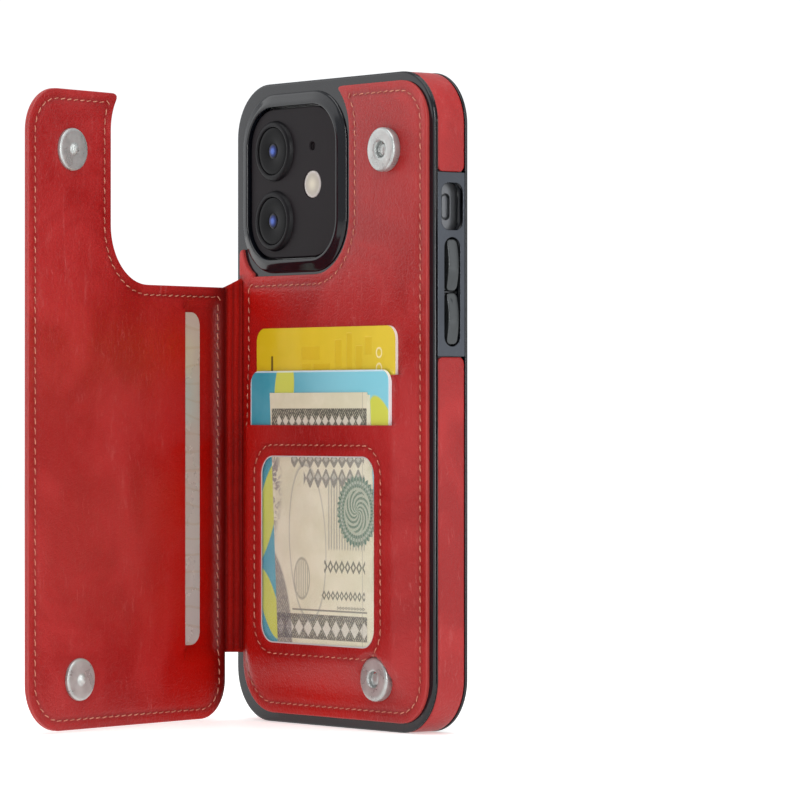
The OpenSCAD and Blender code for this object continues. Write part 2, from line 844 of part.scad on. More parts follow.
shell_tray();
front_rim();
camera_surround();
volume_side_frame();
power_side_frame();
upper_side_leather();
lower_side_leather();
panel_leather();
pocket_divider();
window_film();
upper_snap_socket();
lower_snap_socket();
upper_ring_magnet();
lower_ring_magnet();
socket_washers();
volume_up_key();
volume_down_key();
power_key();
spine_leather();
flap_outer_leather();
flap_foam();
flap_board();
flap_inner_leather();
upper_snap_plate();
lower_snap_plate();
plate_washers();
phone_band();
phone_back_glass();
phone_screen();
phone_core();
camera_plateau();
lens_collars();
lens_glasses();
camera_flash();
ringer_switch();
yellow_card();
blue_card();
banknote();
flap_card();
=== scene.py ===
import json
import math

import bmesh
import bpy
import numpy as np
from mathutils import Matrix, Vector
from mathutils.geometry import delaunay_2d_cdt

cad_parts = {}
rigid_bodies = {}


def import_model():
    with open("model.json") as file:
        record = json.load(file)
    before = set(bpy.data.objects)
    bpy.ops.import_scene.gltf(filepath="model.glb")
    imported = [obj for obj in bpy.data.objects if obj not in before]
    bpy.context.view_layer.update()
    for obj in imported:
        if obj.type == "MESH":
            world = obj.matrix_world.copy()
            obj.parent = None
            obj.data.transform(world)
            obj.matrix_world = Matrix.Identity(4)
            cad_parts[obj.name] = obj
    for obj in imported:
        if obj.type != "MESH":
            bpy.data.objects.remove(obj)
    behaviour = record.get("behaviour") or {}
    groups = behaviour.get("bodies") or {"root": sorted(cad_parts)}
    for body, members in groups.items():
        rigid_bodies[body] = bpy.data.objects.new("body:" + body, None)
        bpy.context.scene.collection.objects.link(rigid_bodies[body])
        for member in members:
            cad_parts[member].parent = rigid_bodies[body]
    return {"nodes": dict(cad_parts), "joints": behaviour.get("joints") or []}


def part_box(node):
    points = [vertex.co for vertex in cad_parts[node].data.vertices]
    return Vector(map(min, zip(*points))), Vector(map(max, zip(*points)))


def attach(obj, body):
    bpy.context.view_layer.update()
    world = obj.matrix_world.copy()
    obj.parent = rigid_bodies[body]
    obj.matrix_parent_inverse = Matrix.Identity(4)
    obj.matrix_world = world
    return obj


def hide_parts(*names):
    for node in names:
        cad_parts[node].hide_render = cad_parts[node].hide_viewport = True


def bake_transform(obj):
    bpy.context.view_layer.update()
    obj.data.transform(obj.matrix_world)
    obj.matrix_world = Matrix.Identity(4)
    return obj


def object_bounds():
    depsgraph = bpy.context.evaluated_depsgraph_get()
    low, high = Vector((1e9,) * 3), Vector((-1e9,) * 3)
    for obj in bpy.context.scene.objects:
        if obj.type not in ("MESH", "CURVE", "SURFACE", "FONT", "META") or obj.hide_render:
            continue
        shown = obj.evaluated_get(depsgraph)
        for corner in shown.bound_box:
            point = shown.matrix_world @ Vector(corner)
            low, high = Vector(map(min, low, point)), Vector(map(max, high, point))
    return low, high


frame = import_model()
cadLow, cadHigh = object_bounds()
mm = 0.001
joints = {j["name"]: j for j in frame["joints"]}
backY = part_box("shell_tray")[0].y  # the shell's back face
print("frame loaded")

# Camera
camera = {"place": (0.840163, -0.631847, 0.072242), "azimuth": 52.222, "pitch": 0.22, "lens": 202.5}

camData = bpy.data.cameras.new("camera")
cam = bpy.data.objects.new("camera", camData)
bpy.context.collection.objects.link(cam)
az, up = math.radians(camera["azimuth"]), math.radians(camera["pitch"])
look = Vector((-math.sin(az) * math.cos(up), math.cos(az) * math.cos(up), math.sin(up)))
cam.location = camera["place"]
cam.rotation_mode = "QUATERNION"
cam.rotation_quaternion = look.to_track_quat("-Z", "Y")
camData.lens = camera["lens"]
camData.sensor_width = 36
camData.clip_start, camData.clip_end = 0.01, 50
bpy.context.scene.camera = cam


# Node helpers
def addNode(tree, kind, sockets=None, **settings):
    n = tree.nodes.new(kind)
    for key, value in settings.items():
        setattr(n, key, value)
    for key, value in (sockets or {}).items():
        n.inputs[key].default_value = value
    return n


def wire(tree, source, target):
    tree.links.new(source, target)


def mathNode(tree, operation, a, b=None, c=None, clamp=False):
    n = addNode(tree, "ShaderNodeMath", operation=operation, use_clamp=clamp)
    for i, value in enumerate((a, b, c)):
        if value is None:
            continue
        if isinstance(value, (int, float)):
            n.inputs[i].default_value = value
        else:
            wire(tree, value, n.inputs[i])
    return n.outputs[0]


def mapRange(tree, value, low, high, toLow=0.0, toHigh=1.0, smooth=True):
    n = addNode(tree, "ShaderNodeMapRange", interpolation_type="SMOOTHSTEP" if smooth else "LINEAR")
    wire(tree, value, n.inputs["Value"])
    for key, v in (("From Min", low), ("From Max", high), ("To Min", toLow), ("To Max", toHigh)):
        n.inputs[key].default_value = v
    return n.outputs["Result"]


def mixColor(tree, share, a, b, blend="MIX"):
    n = addNode(tree, "ShaderNodeMix", data_type="RGBA", blend_type=blend)
    for socket, value in ((n.inputs[0], share), (n.inputs[6], a), (n.inputs[7], b)):
        if isinstance(value, (int, float)):
            socket.default_value = value
        elif isinstance(value, (tuple, list)):
            socket.default_value = (*value, 1)[:4]
        else:
            wire(tree, value, socket)
    return n.outputs[2]


def newGroup(name, inputs, outputs):
    group = bpy.data.node_groups.new(name, "ShaderNodeTree")
    for label, kind, value in inputs:
        s = group.interface.new_socket(label, in_out="INPUT", socket_type=kind)
        if value is not None:
            s.default_value = value
    for label, kind in outputs:
        group.interface.new_socket(label, in_out="OUTPUT", socket_type=kind)
    return group, group.nodes.new("NodeGroupInput"), group.nodes.new("NodeGroupOutput")


# Leather grain: fine cells with crinkles, slow clouds of colour and soft streaks along the height
grain, gIn, gOut = newGroup(
    "leatherGrain",
    [("Vector", "NodeSocketVector", None), ("Cell Scale", "NodeSocketFloat", 1000.0),
     ("Cloud Scale", "NodeSocketFloat", 38.0)],
    [("Height", "NodeSocketFloat"), ("Cloud", "NodeSocketFloat"), ("Streak", "NodeSocketFloat"),
     ("Scratch", "NodeSocketFloat")])
warp = addNode(grain, "ShaderNodeTexNoise", {"Scale": 300.0, "Detail": 3.0})
wire(grain, gIn.outputs["Vector"], warp.inputs["Vector"])
centred = addNode(grain, "ShaderNodeVectorMath", operation="SUBTRACT")
wire(grain, warp.outputs["Color"], centred.inputs[0])
centred.inputs[1].default_value = (0.5, 0.5, 0.5)
shrunk = addNode(grain, "ShaderNodeVectorMath", {"Scale": 0.0022}, operation="SCALE")
wire(grain, centred.outputs[0], shrunk.inputs[0])
moved = addNode(grain, "ShaderNodeVectorMath", operation="ADD")
wire(grain, gIn.outputs["Vector"], moved.inputs[0])
wire(grain, shrunk.outputs[0], moved.inputs[1])
cells = addNode(grain, "ShaderNodeTexVoronoi", feature="DISTANCE_TO_EDGE")
wire(grain, moved.outputs[0], cells.inputs["Vector"])
wire(grain, gIn.outputs["Cell Scale"], cells.inputs["Scale"])
cellHeight = mapRange(grain, cells.outputs["Distance"], 0.0, 0.16)
crinkle = addNode(grain, "ShaderNodeTexNoise", {"Scale": 520.0, "Detail": 5.0, "Roughness": 0.62})
wire(grain, moved.outputs[0], crinkle.inputs["Vector"])
ridge = mathNode(grain, "ABSOLUTE", mathNode(grain, "SUBTRACT", crinkle.outputs["Fac"], 0.5))
ridgeHeight = mapRange(grain, ridge, 0.0, 0.11)
wire(grain, mathNode(grain, "ADD", mathNode(grain, "MULTIPLY", cellHeight, 0.5),
                     mathNode(grain, "MULTIPLY", ridgeHeight, 0.5)), gOut.inputs["Height"])
cloud = addNode(grain, "ShaderNodeTexNoise", {"Detail": 5.0, "Roughness": 0.56, "Distortion": 0.9})
wire(grain, gIn.outputs["Vector"], cloud.inputs["Vector"])
wire(grain, gIn.outputs["Cloud Scale"], cloud.inputs["Scale"])
wire(grain, mapRange(grain, cloud.outputs["Fac"], 0.36, 0.66), gOut.inputs["Cloud"])
longWays = addNode(grain, "ShaderNodeMapping")
longWays.inputs["Scale"].default_value = (1.0, 1.0, 0.13)
wire(grain, moved.outputs[0], longWays.inputs["Vector"])
streak = addNode(grain, "ShaderNodeTexNoise", {"Scale": 480.0, "Detail": 4.0, "Roughness": 0.65})
wire(grain, longWays.outputs["Vector"], streak.inputs["Vector"])
wire(grain, mathNode(grain, "MULTIPLY", mapRange(grain, streak.outputs["Fac"], 0.56, 0.74),
                     mapRange(grain, cloud.outputs["Fac"], 0.42, 0.68)), gOut.inputs["Streak"])

fineWays = addNode(grain, "ShaderNodeMapping")
fineWays.inputs["Scale"].default_value = (1.0, 1.0, 0.11)
fineWays.inputs["Rotation"].default_value = (0.12, -0.16, 0.0)
wire(grain, moved.outputs[0], fineWays.inputs["Vector"])
scratch = addNode(grain, "ShaderNodeTexNoise",
                  {"Scale": 1900.0, "Detail": 3.0, "Roughness": 0.6, "Distortion": 0.4})
wire(grain, fineWays.outputs["Vector"], scratch.inputs["Vector"])
worn = addNode(grain, "ShaderNodeTexNoise", {"Scale": 85.0, "Detail": 4.0, "Roughness": 0.6})
wire(grain, gIn.outputs["Vector"], worn.inputs["Vector"])
wire(grain, mathNode(grain, "MULTIPLY", mapRange(grain, scratch.outputs["Fac"], 0.55, 0.72),
                     mapRange(grain, worn.outputs["Fac"], 0.46, 0.68)), gOut.inputs["Scratch"])

# Dust and finger marks: a patchy mask that roughens gloss
smudge, sIn, sOut = newGroup("smudges",
                             [("Vector", "NodeSocketVector", None),
                              ("Patch Scale", "NodeSocketFloat", 60.0)],
                              [("Mask", "NodeSocketFloat"), ("Fine", "NodeSocketFloat")])
patches = addNode(smudge, "ShaderNodeTexNoise", {"Detail": 6.0, "Roughness": 0.6})
wire(smudge, sIn.outputs["Vector"], patches.inputs["Vector"])
wire(smudge, sIn.outputs["Patch Scale"], patches.inputs["Scale"])
wire(smudge, mapRange(smudge, patches.outputs["Fac"], 0.35, 0.7), sOut.inputs["Mask"])
specks = addNode(smudge, "ShaderNodeTexNoise", {"Scale": 2600.0, "Detail": 2.0})
wire(smudge, sIn.outputs["Vector"], specks.inputs["Vector"])
wire(smudge, specks.outputs["Fac"], sOut.inputs["Fine"])


def newMaterial(name, sockets):
    m = bpy.data.materials.new(name)
    m.use_nodes = True
    tree = m.node_tree
    shader = tree.nodes["Principled BSDF"]
    for key, value in sockets.items():
        shader.inputs[key].default_value = value
    where = addNode(tree, "ShaderNodeTexCoord").outputs["Object"]
    return m, tree, shader, where


def placeGroup(tree, group, where, values):
    n = addNode(tree, "ShaderNodeGroup", node_tree=group)
    wire(tree, where, n.inputs["Vector"])
    for key, value in values.items():
        n.inputs[key].default_value = value
    return n


def readAttribute(tree, name):
    return addNode(tree, "ShaderNodeAttribute", attribute_name=name).outputs["Fac"]


def bumpInto(tree, shader, height, strength, distance):
    b = addNode(tree, "ShaderNodeBump", {"Strength": strength, "Distance": distance})
    wire(tree, height, b.inputs["Height"])
    wire(tree, b.outputs["Normal"], shader.inputs["Normal"])


# the saturated deep red for the folds and lower parts is painted shade, where little light and no white
# reflection reach
leatherLook = {"deep": (0.31, 0.008, 0.008), "fresh": (0.40, 0.018, 0.018), "pale": (0.50, 0.105, 0.10),
               # the edge colour is edge paint with a painted highlight on the cut and rounded edges
               "edge": (0.45, 0.05, 0.045), "seam": (0.17, 0.003, 0.003), "oiled": (0.46, 0.004, 0.001),
               # the near-black crease colour is painted shade in the creases
               "crease": (0.085, 0.0012, 0.0006)}
# the spine's leather: the same leather in darker, deeper colours, painted shade for the spine deep in the
# fold
shadedFoldLook = {**leatherLook, "deep": (0.25, 0.003, 0.0015), "fresh": (0.34, 0.005, 0.002),
            "pale": (0.38, 0.015, 0.01), "edge": (0.35, 0.012, 0.008)}


def makeLeather(name, look, cell=1000.0, cloudScale=38.0, bump=0.6, gloss=0.5):
    m, tree, shader, where = newMaterial(name,
                                         {"Coat Weight": 0.14 * gloss, "Coat Roughness": 0.3,
                                          "Specular IOR Level": gloss * 0.56})
    g = placeGroup(tree, grain, where, {"Cell Scale": cell, "Cloud Scale": cloudScale})
    color = mixColor(tree, g.outputs["Cloud"], look["deep"], look["fresh"])
    color = mixColor(tree, mathNode(tree, "MULTIPLY", g.outputs["Streak"], 0.5), color, look["pale"])
    color = mixColor(tree, mathNode(tree, "MULTIPLY", g.outputs["Scratch"], 0.45), color, look["pale"])
    # painted shade: a deep saturated red, with less coat, where the folds and lower parts get little light
    oiled = readAttribute(tree, "oiled")
    color = mixColor(tree, mathNode(tree, "MULTIPLY", oiled,
                                    mapRange(tree, g.outputs["Cloud"], 0, 1, 0.98, 0.75)), color,
                                    look["oiled"])
    wire(tree, mapRange(tree, oiled, 0, 1, gloss * 0.14, 0.0), shader.inputs["Coat Weight"])
    # painted shade in the creases
    color = mixColor(tree, readAttribute(tree, "crease"), color, look["crease"])
    color = mixColor(tree, mathNode(tree, "MULTIPLY", readAttribute(tree, "seam"), 0.55), color, look["seam"])
    # edge paint with a painted highlight along the cut edges
    color = mixColor(tree, readAttribute(tree, "edge"), color, look["edge"])
    wire(tree, color, shader.inputs["Base Color"])
    rough = mathNode(tree, "ADD", mapRange(tree, g.outputs["Cloud"], 0, 1, 0.34, 0.44),
                     mathNode(tree, "MULTIPLY", g.outputs["Height"], -0.05))
    wire(tree, rough, shader.inputs["Roughness"])
    height = mathNode(tree, "ADD", g.outputs["Height"],
                      mathNode(tree, "MULTIPLY", g.outputs["Scratch"], -0.5))
    bumpInto(tree, shader, height, bump, 0.00009)
    return m


redLeather = makeLeather("redLeather", leatherLook)
sideLeather = makeLeather("sideLeather", leatherLook, cell=1150.0, bump=0.7)
# the spine's copy of the leather, darkened by painted shade, with little gloss
foldLeather = makeLeather("foldLeather", shadedFoldLook, gloss=0.06)


def makePlain(name, color, roughness, metallic=0.0, coat=0.0, spread=0.08, speck=0.0, patch=60.0,
              tint=None, **more):
    m, tree, shader, where = newMaterial(name,
                                         {"Metallic": metallic, "Coat Weight": coat,
                                          **{k.replace("_", " "): v for k, v in more.items()}})
    g = placeGroup(tree, smudge, where, {"Patch Scale": patch})
    dark = tuple(c * 0.82 for c in color)
    wire(tree, mixColor(tree, g.outputs["Mask"], dark, tint or color), shader.inputs["Base Color"])
    wire(tree, mapRange(tree, g.outputs["Mask"], 0, 1, max(roughness - spread / 2, 0.02),
                        roughness + spread / 2), shader.inputs["Roughness"])
    if speck:
        bumpInto(tree, shader, g.outputs["Fine"], speck, 0.00002)
    return m


blackGloss = makePlain("blackGloss", (0.004, 0.005, 0.008), 0.12, spread=0.05, Specular_IOR_Level=0.4)
plated = makePlain("plated", (0.055, 0.061, 0.072), 0.16, metallic=0.85, speck=0.1)
keyMetal = makePlain("keyMetal", (0.07, 0.075, 0.078), 0.24, metallic=0.8, speck=0.15)
snapMetal = makePlain("snapMetal", (0.46, 0.48, 0.47), 0.3, metallic=0.5, spread=0.06, speck=0.3,
                      patch=200.0, tint=(0.51, 0.53, 0.52))
plateauGlass = makePlain("plateauGlass", (0.011, 0.008, 0.010), 0.45, spread=0.04, speck=0.2,
                         Specular_IOR_Level=0.1)
ringSatin = makePlain("ringSatin", (0.005, 0.0045, 0.006), 0.4, speck=0.1, Specular_IOR_Level=0.14)
lensBlack = makePlain("lensBlack", (0.0012, 0.0012, 0.002), 0.2, spread=0.04, Specular_IOR_Level=0.08)
phoneMetal = makePlain("phoneMetal", (0.15, 0.155, 0.165), 0.34, metallic=0.8, speck=0.2)
backGlass = makePlain("backGlass", (0.03, 0.028, 0.03), 0.1, coat=0.4)
corePlain = makePlain("corePlain", (0.15, 0.15, 0.16), 0.5)
liningCloth = makePlain("liningCloth", (0.12, 0.01, 0.01), 0.8)
washerSteel = makePlain("washerSteel", (0.45, 0.45, 0.46), 0.35, metallic=1.0)
threadPink = makePlain("threadPink", (0.50, 0.13, 0.08), 0.62, spread=0.1, speck=0.5, patch=900.0,
                       tint=(0.66, 0.27, 0.18))
threadTan = makePlain("threadTan", (0.46, 0.13, 0.04), 0.62, spread=0.1, speck=0.5, patch=900.0,
                      tint=(0.60, 0.22, 0.08))
# near-black red for the stitch holes: painted shade inside the holes
holeDark = makePlain("holeDark", (0.05, 0.002, 0.002), 0.8)
print("materials made")


# Shapes read from the CAD part
def depthOf(y):
    return (backY - y) / mm


def turned(name, degrees):
    p = Vector(joints[name]["pos_m"])
    spin = Matrix.Rotation(math.radians(degrees), 4, Vector(joints[name]["axis"]))
    return Matrix.Translation(p) @ spin @ Matrix.Translation(-p)


openSpine = turned("spine_fold", -joints["spine_fold"]["range_deg"][0])
# from the closed flap to its place at rest
openFlap = turned("flap_fold", -joints["flap_fold"]["range_deg"][0]) @ openSpine
closedFlap = openFlap.inverted()


def cadCopy(node, matrix=None):
    bm = bmesh.new()
    bm.from_mesh(frame["nodes"][node].data)
    bmesh.ops.remove_doubles(bm, verts=bm.verts, dist=2e-6)
    if matrix:
        bm.transform(matrix)
    return bm


def levels(node, matrix=None):
    bm = cadCopy(node, matrix)
    found = sorted({round(depthOf(v.co.y), 2) for v in bm.verts})
    bm.free()
    return found


def loopArea(loop):
    x, z = loop[:, 0], loop[:, 1]
    return 0.5 * float(np.sum(x * np.roll(z, -1) - np.roll(x, -1) * z))


def faceLoops(node, depth, matrix=None):
    # the outlines of a node's flat faces at a depth, largest first, anticlockwise, in mm
    bm = cadCopy(node, matrix)
    y = backY - depth * mm
    flat = {f for f in bm.faces if all(abs(v.co.y - y) < 3e-5 for v in f.verts)}
    edges = [e for e in bm.edges if sum(f in flat for f in e.link_faces) == 1]
    joined = {}
    for e in edges:
        for v in e.verts:
            joined.setdefault(v, []).append(e)
    loops, used = [], set()
    for e in edges:
        if e in used:
            continue
        start, v, loop = e.verts[0], e.verts[1], [e.verts[0].co.copy()]
        used.add(e)
        while v != start:
            loop.append(v.co.copy())
            following = [x for x in joined[v] if x not in used]
            if not following:
                break
            used.add(following[0])
            v = following[0].other_vert(v)
        a = np.array([(p.x / mm, p.z / mm) for p in loop])
        if len(a) > 2:
            loops.append(a if loopArea(a) > 0 else a[::-1])
    bm.free()
    return sorted(loops, key=lambda a: -abs(loopArea(a)))


def evenLoop(loop, step, corner=25.0, closed=True):
    # the loop with even points between its sharp corners
    n = len(loop)
    a = loop - np.roll(loop, 1, 0)
    b = np.roll(loop, -1, 0) - loop
    turn = np.abs(np.degrees(np.arctan2(a[:, 0] * b[:, 1] - a[:, 1] * b[:, 0], (a * b).sum(1))))
    sharp = [i for i in range(n) if turn[i] > corner] if closed else [0, n - 1]
    if not sharp:
        sharp = [0]
    result = []
    for k, i in enumerate(sharp if closed else sharp[:1]):
        j = sharp[(k + 1) % len(sharp)]
        count = (j - i) % n or n
        part = loop[[(i + m) % n for m in range(count + 1)]]
        along = np.concatenate([[0], np.cumsum(np.linalg.norm(np.diff(part, axis=0), axis=1))])
        steps = max(int(round(along[-1] / step)), 1)
        for s in np.linspace(0, along[-1], steps + 1)[:-1]:
            result.append([np.interp(s, along, part[:, d]) for d in range(part.shape[1])])
    return np.array(result)


def inwards(loop):
    a = loop - np.roll(loop, 1, 0)
    b = np.roll(loop, -1, 0) - loop
    a /= np.linalg.norm(a, axis=1)[:, None] + 1e-12
    b /= np.linalg.norm(b, axis=1)[:, None] + 1e-12
    t = a + b
    n = np.stack([-t[:, 1], t[:, 0]], 1)
    n /= np.linalg.norm(n, axis=1)[:, None] + 1e-12
    lean = np.clip((n * np.stack([-a[:, 1], a[:, 0]], 1)).sum(1), 0.5, 1)
    return n / lean[:, None]


def distanceTo(points, loop, closed=True):
    a = loop if closed else loop[:-1]
    b = np.roll(loop, -1, 0) if closed else loop[1:]
    d = b - a
    length = (d * d).sum(1) + 1e-12
    best = np.empty(len(points))
    for i in range(0, len(points), 1500):
        p = points[i:i + 1500, None, :] - a[None]
        t = np.clip((p * d[None]).sum(2) / length[None], 0, 1)
        best[i:i + 1500] = np.sqrt((((p - t[..., None] * d[None]) ** 2).sum(2)).min(1))
    return best


def insideOf(points, loop):
    inside = np.zeros(len(points), bool)
    a, b = loop, np.roll(loop, -1, 0)
    for (x0, z0), (x1, z1) in zip(a, b):
        if z0 == z1:
            continue
        crosses = (z0 > points[:, 1]) != (z1 > points[:, 1])
        inside ^= crosses & (points[:, 0] < (x1 - x0) * (points[:, 1] - z0) / (z1 - z0) + x0)
    return inside


def insetLoop(loop, inset, step=0.3):
    # a line that runs inside the loop, or outside it for a negative inset
    even = evenLoop(loop, step)
    moved = even + inwards(even) * inset
    clear = distanceTo(moved, loop) > abs(inset) * 0.985 - 0.004
    return moved[clear & (insideOf(moved, loop) == (inset > 0))]


def roundTip(loop, near, radius):
    # rounds the sharpest corner of a loop within 8 mm of a place
    before, after = loop - np.roll(loop, 3, 0), np.roll(loop, -3, 0) - loop
    turn = np.abs(np.arctan2(before[:, 0] * after[:, 1] - before[:, 1] * after[:, 0],
                             (before * after).sum(1)))
    close = np.linalg.norm(loop - np.array(near), axis=1) < 8
    i = int(np.argmax(np.where(close, turn, 0)))
    turned = np.roll(loop, -i, 0)
    along = np.concatenate([[0], np.cumsum(np.linalg.norm(np.diff(np.vstack([turned, turned[:1]]), axis=0),
                                                          axis=1))])
    full = np.vstack([turned, turned[:1]])
    keep = (along[:-1] > radius) & (along[:-1] < along[-1] - radius)
    a = np.array([np.interp(along[-1] - radius, along, full[:, d]) for d in (0, 1)])
    b = np.array([np.interp(radius, along, full[:, d]) for d in (0, 1)])
    tip = turned[0]
    arc = [(1 - t) ** 2 * a + 2 * t * (1 - t) * tip + t * t * b for t in np.linspace(0, 1, 9)]
    return np.vstack([arc, turned[keep]])


def soft(t):
    t = np.clip(t, 0, 1)
    return t * t * (3 - 2 * t)


def roundOver(d, r):
    # how far a rounded edge of radius r lies below its surface, d in from the edge
    t = np.clip(1 - d / r, 0, 1)
    return r * (1 - np.sqrt(1 - t * t))


# Leather sheets
def slitShare(along, across, slit, side):
    # 0 above a slit and 1 below it, with a step between its ends and a slope beyond them
    beyond = np.maximum(np.maximum(slit["low"] - along, along - slit["high"]), 0) * 1.3
    slope = soft(0.5 - across / (2 * np.maximum(beyond, 1e-6)))
    return np.where(beyond > 1e-5, slope, np.where(side < 0, 1.0, 0.0))


def cutSheet(outline, holes=(), slits=(), cell=0.95, rings=(0.1, 0.22, 0.4, 0.7, 1.15), step=0.6):
    points, edges = [], []

    def line(p, closed=True):
        first = len(points)
        points.extend(map(tuple, p))
        last = len(points)
        edges.extend((i, i + 1) for i in range(first, last - 1))
        if closed:
            edges.append((last - 1, first))

    line(outline)
    for hole in holes:
        line(hole)
    lines = []
    for s in slits:
        t = np.linspace(s["low"], s["high"], int((s["high"] - s["low"]) / 0.5) + 1)
        row = np.stack([t, np.full(len(t), s["at"])], 1)
        if s["axis"] == "x":
            row = row[:, ::-1]
        line(row, closed=False)
        lines.append(row)
        for gap in (-0.55, -0.28, -0.12, 0.12, 0.28, 0.55):
            points.extend(map(tuple, row + ((0, gap) if s["axis"] == "z" else (gap, 0))))
    for r in rings:
        for loop, sign in [(outline, 1)] + [(h, -1) for h in holes]:
            ring = insetLoop(loop, sign * r, step)
            ok = np.ones(len(ring), bool)
            for other in [outline, *holes]:
                if other is not loop:
                    ok &= distanceTo(ring, other) > rings[-1]
            for row in lines:
                ok &= distanceTo(ring, row, closed=False) > 0.7
            points.extend(map(tuple, ring[ok]))
    low, high = outline.min(0), outline.max(0)
    rows = np.arange(low[1], high[1], cell * 0.866)
    grid = np.array([(x + (k % 2) * cell / 2, z)
                     for k, z in enumerate(rows) for x in np.arange(low[0], high[0], cell)])
    ok = insideOf(grid, outline) & (distanceTo(grid, outline) > rings[-1] + cell * 0.5)
    for hole in holes:
        ok &= ~insideOf(grid, hole) & (distanceTo(grid, hole) > rings[-1] + cell * 0.5)
    for row in lines:
        ok &= distanceTo(grid, row, closed=False) > 0.9
    points.extend(map(tuple, grid[ok]))
    made = delaunay_2d_cdt([Vector(p) for p in points], edges, [], 0, 1e-6)
    verts = np.array([tuple(v) for v in made[0]])
    faces = np.array([f for f in made[2]])
    middle = verts[faces].mean(1)
    keep = insideOf(middle, outline)
    for hole in holes:
        keep &= ~insideOf(middle, hole)
    faces = faces[keep]
    a, b, c = verts[faces[:, 0]], verts[faces[:, 1]], verts[faces[:, 2]]
    size = (b[:, 0] - a[:, 0]) * (c[:, 1] - a[:, 1]) - (b[:, 1] - a[:, 1]) * (c[:, 0] - a[:, 0])
    faces[size < 0] = faces[size < 0][:, ::-1]
    return verts, faces[np.abs(size) > 1e-7]


def noTone(x, z):
    return np.zeros(len(x)), np.zeros(len(x))


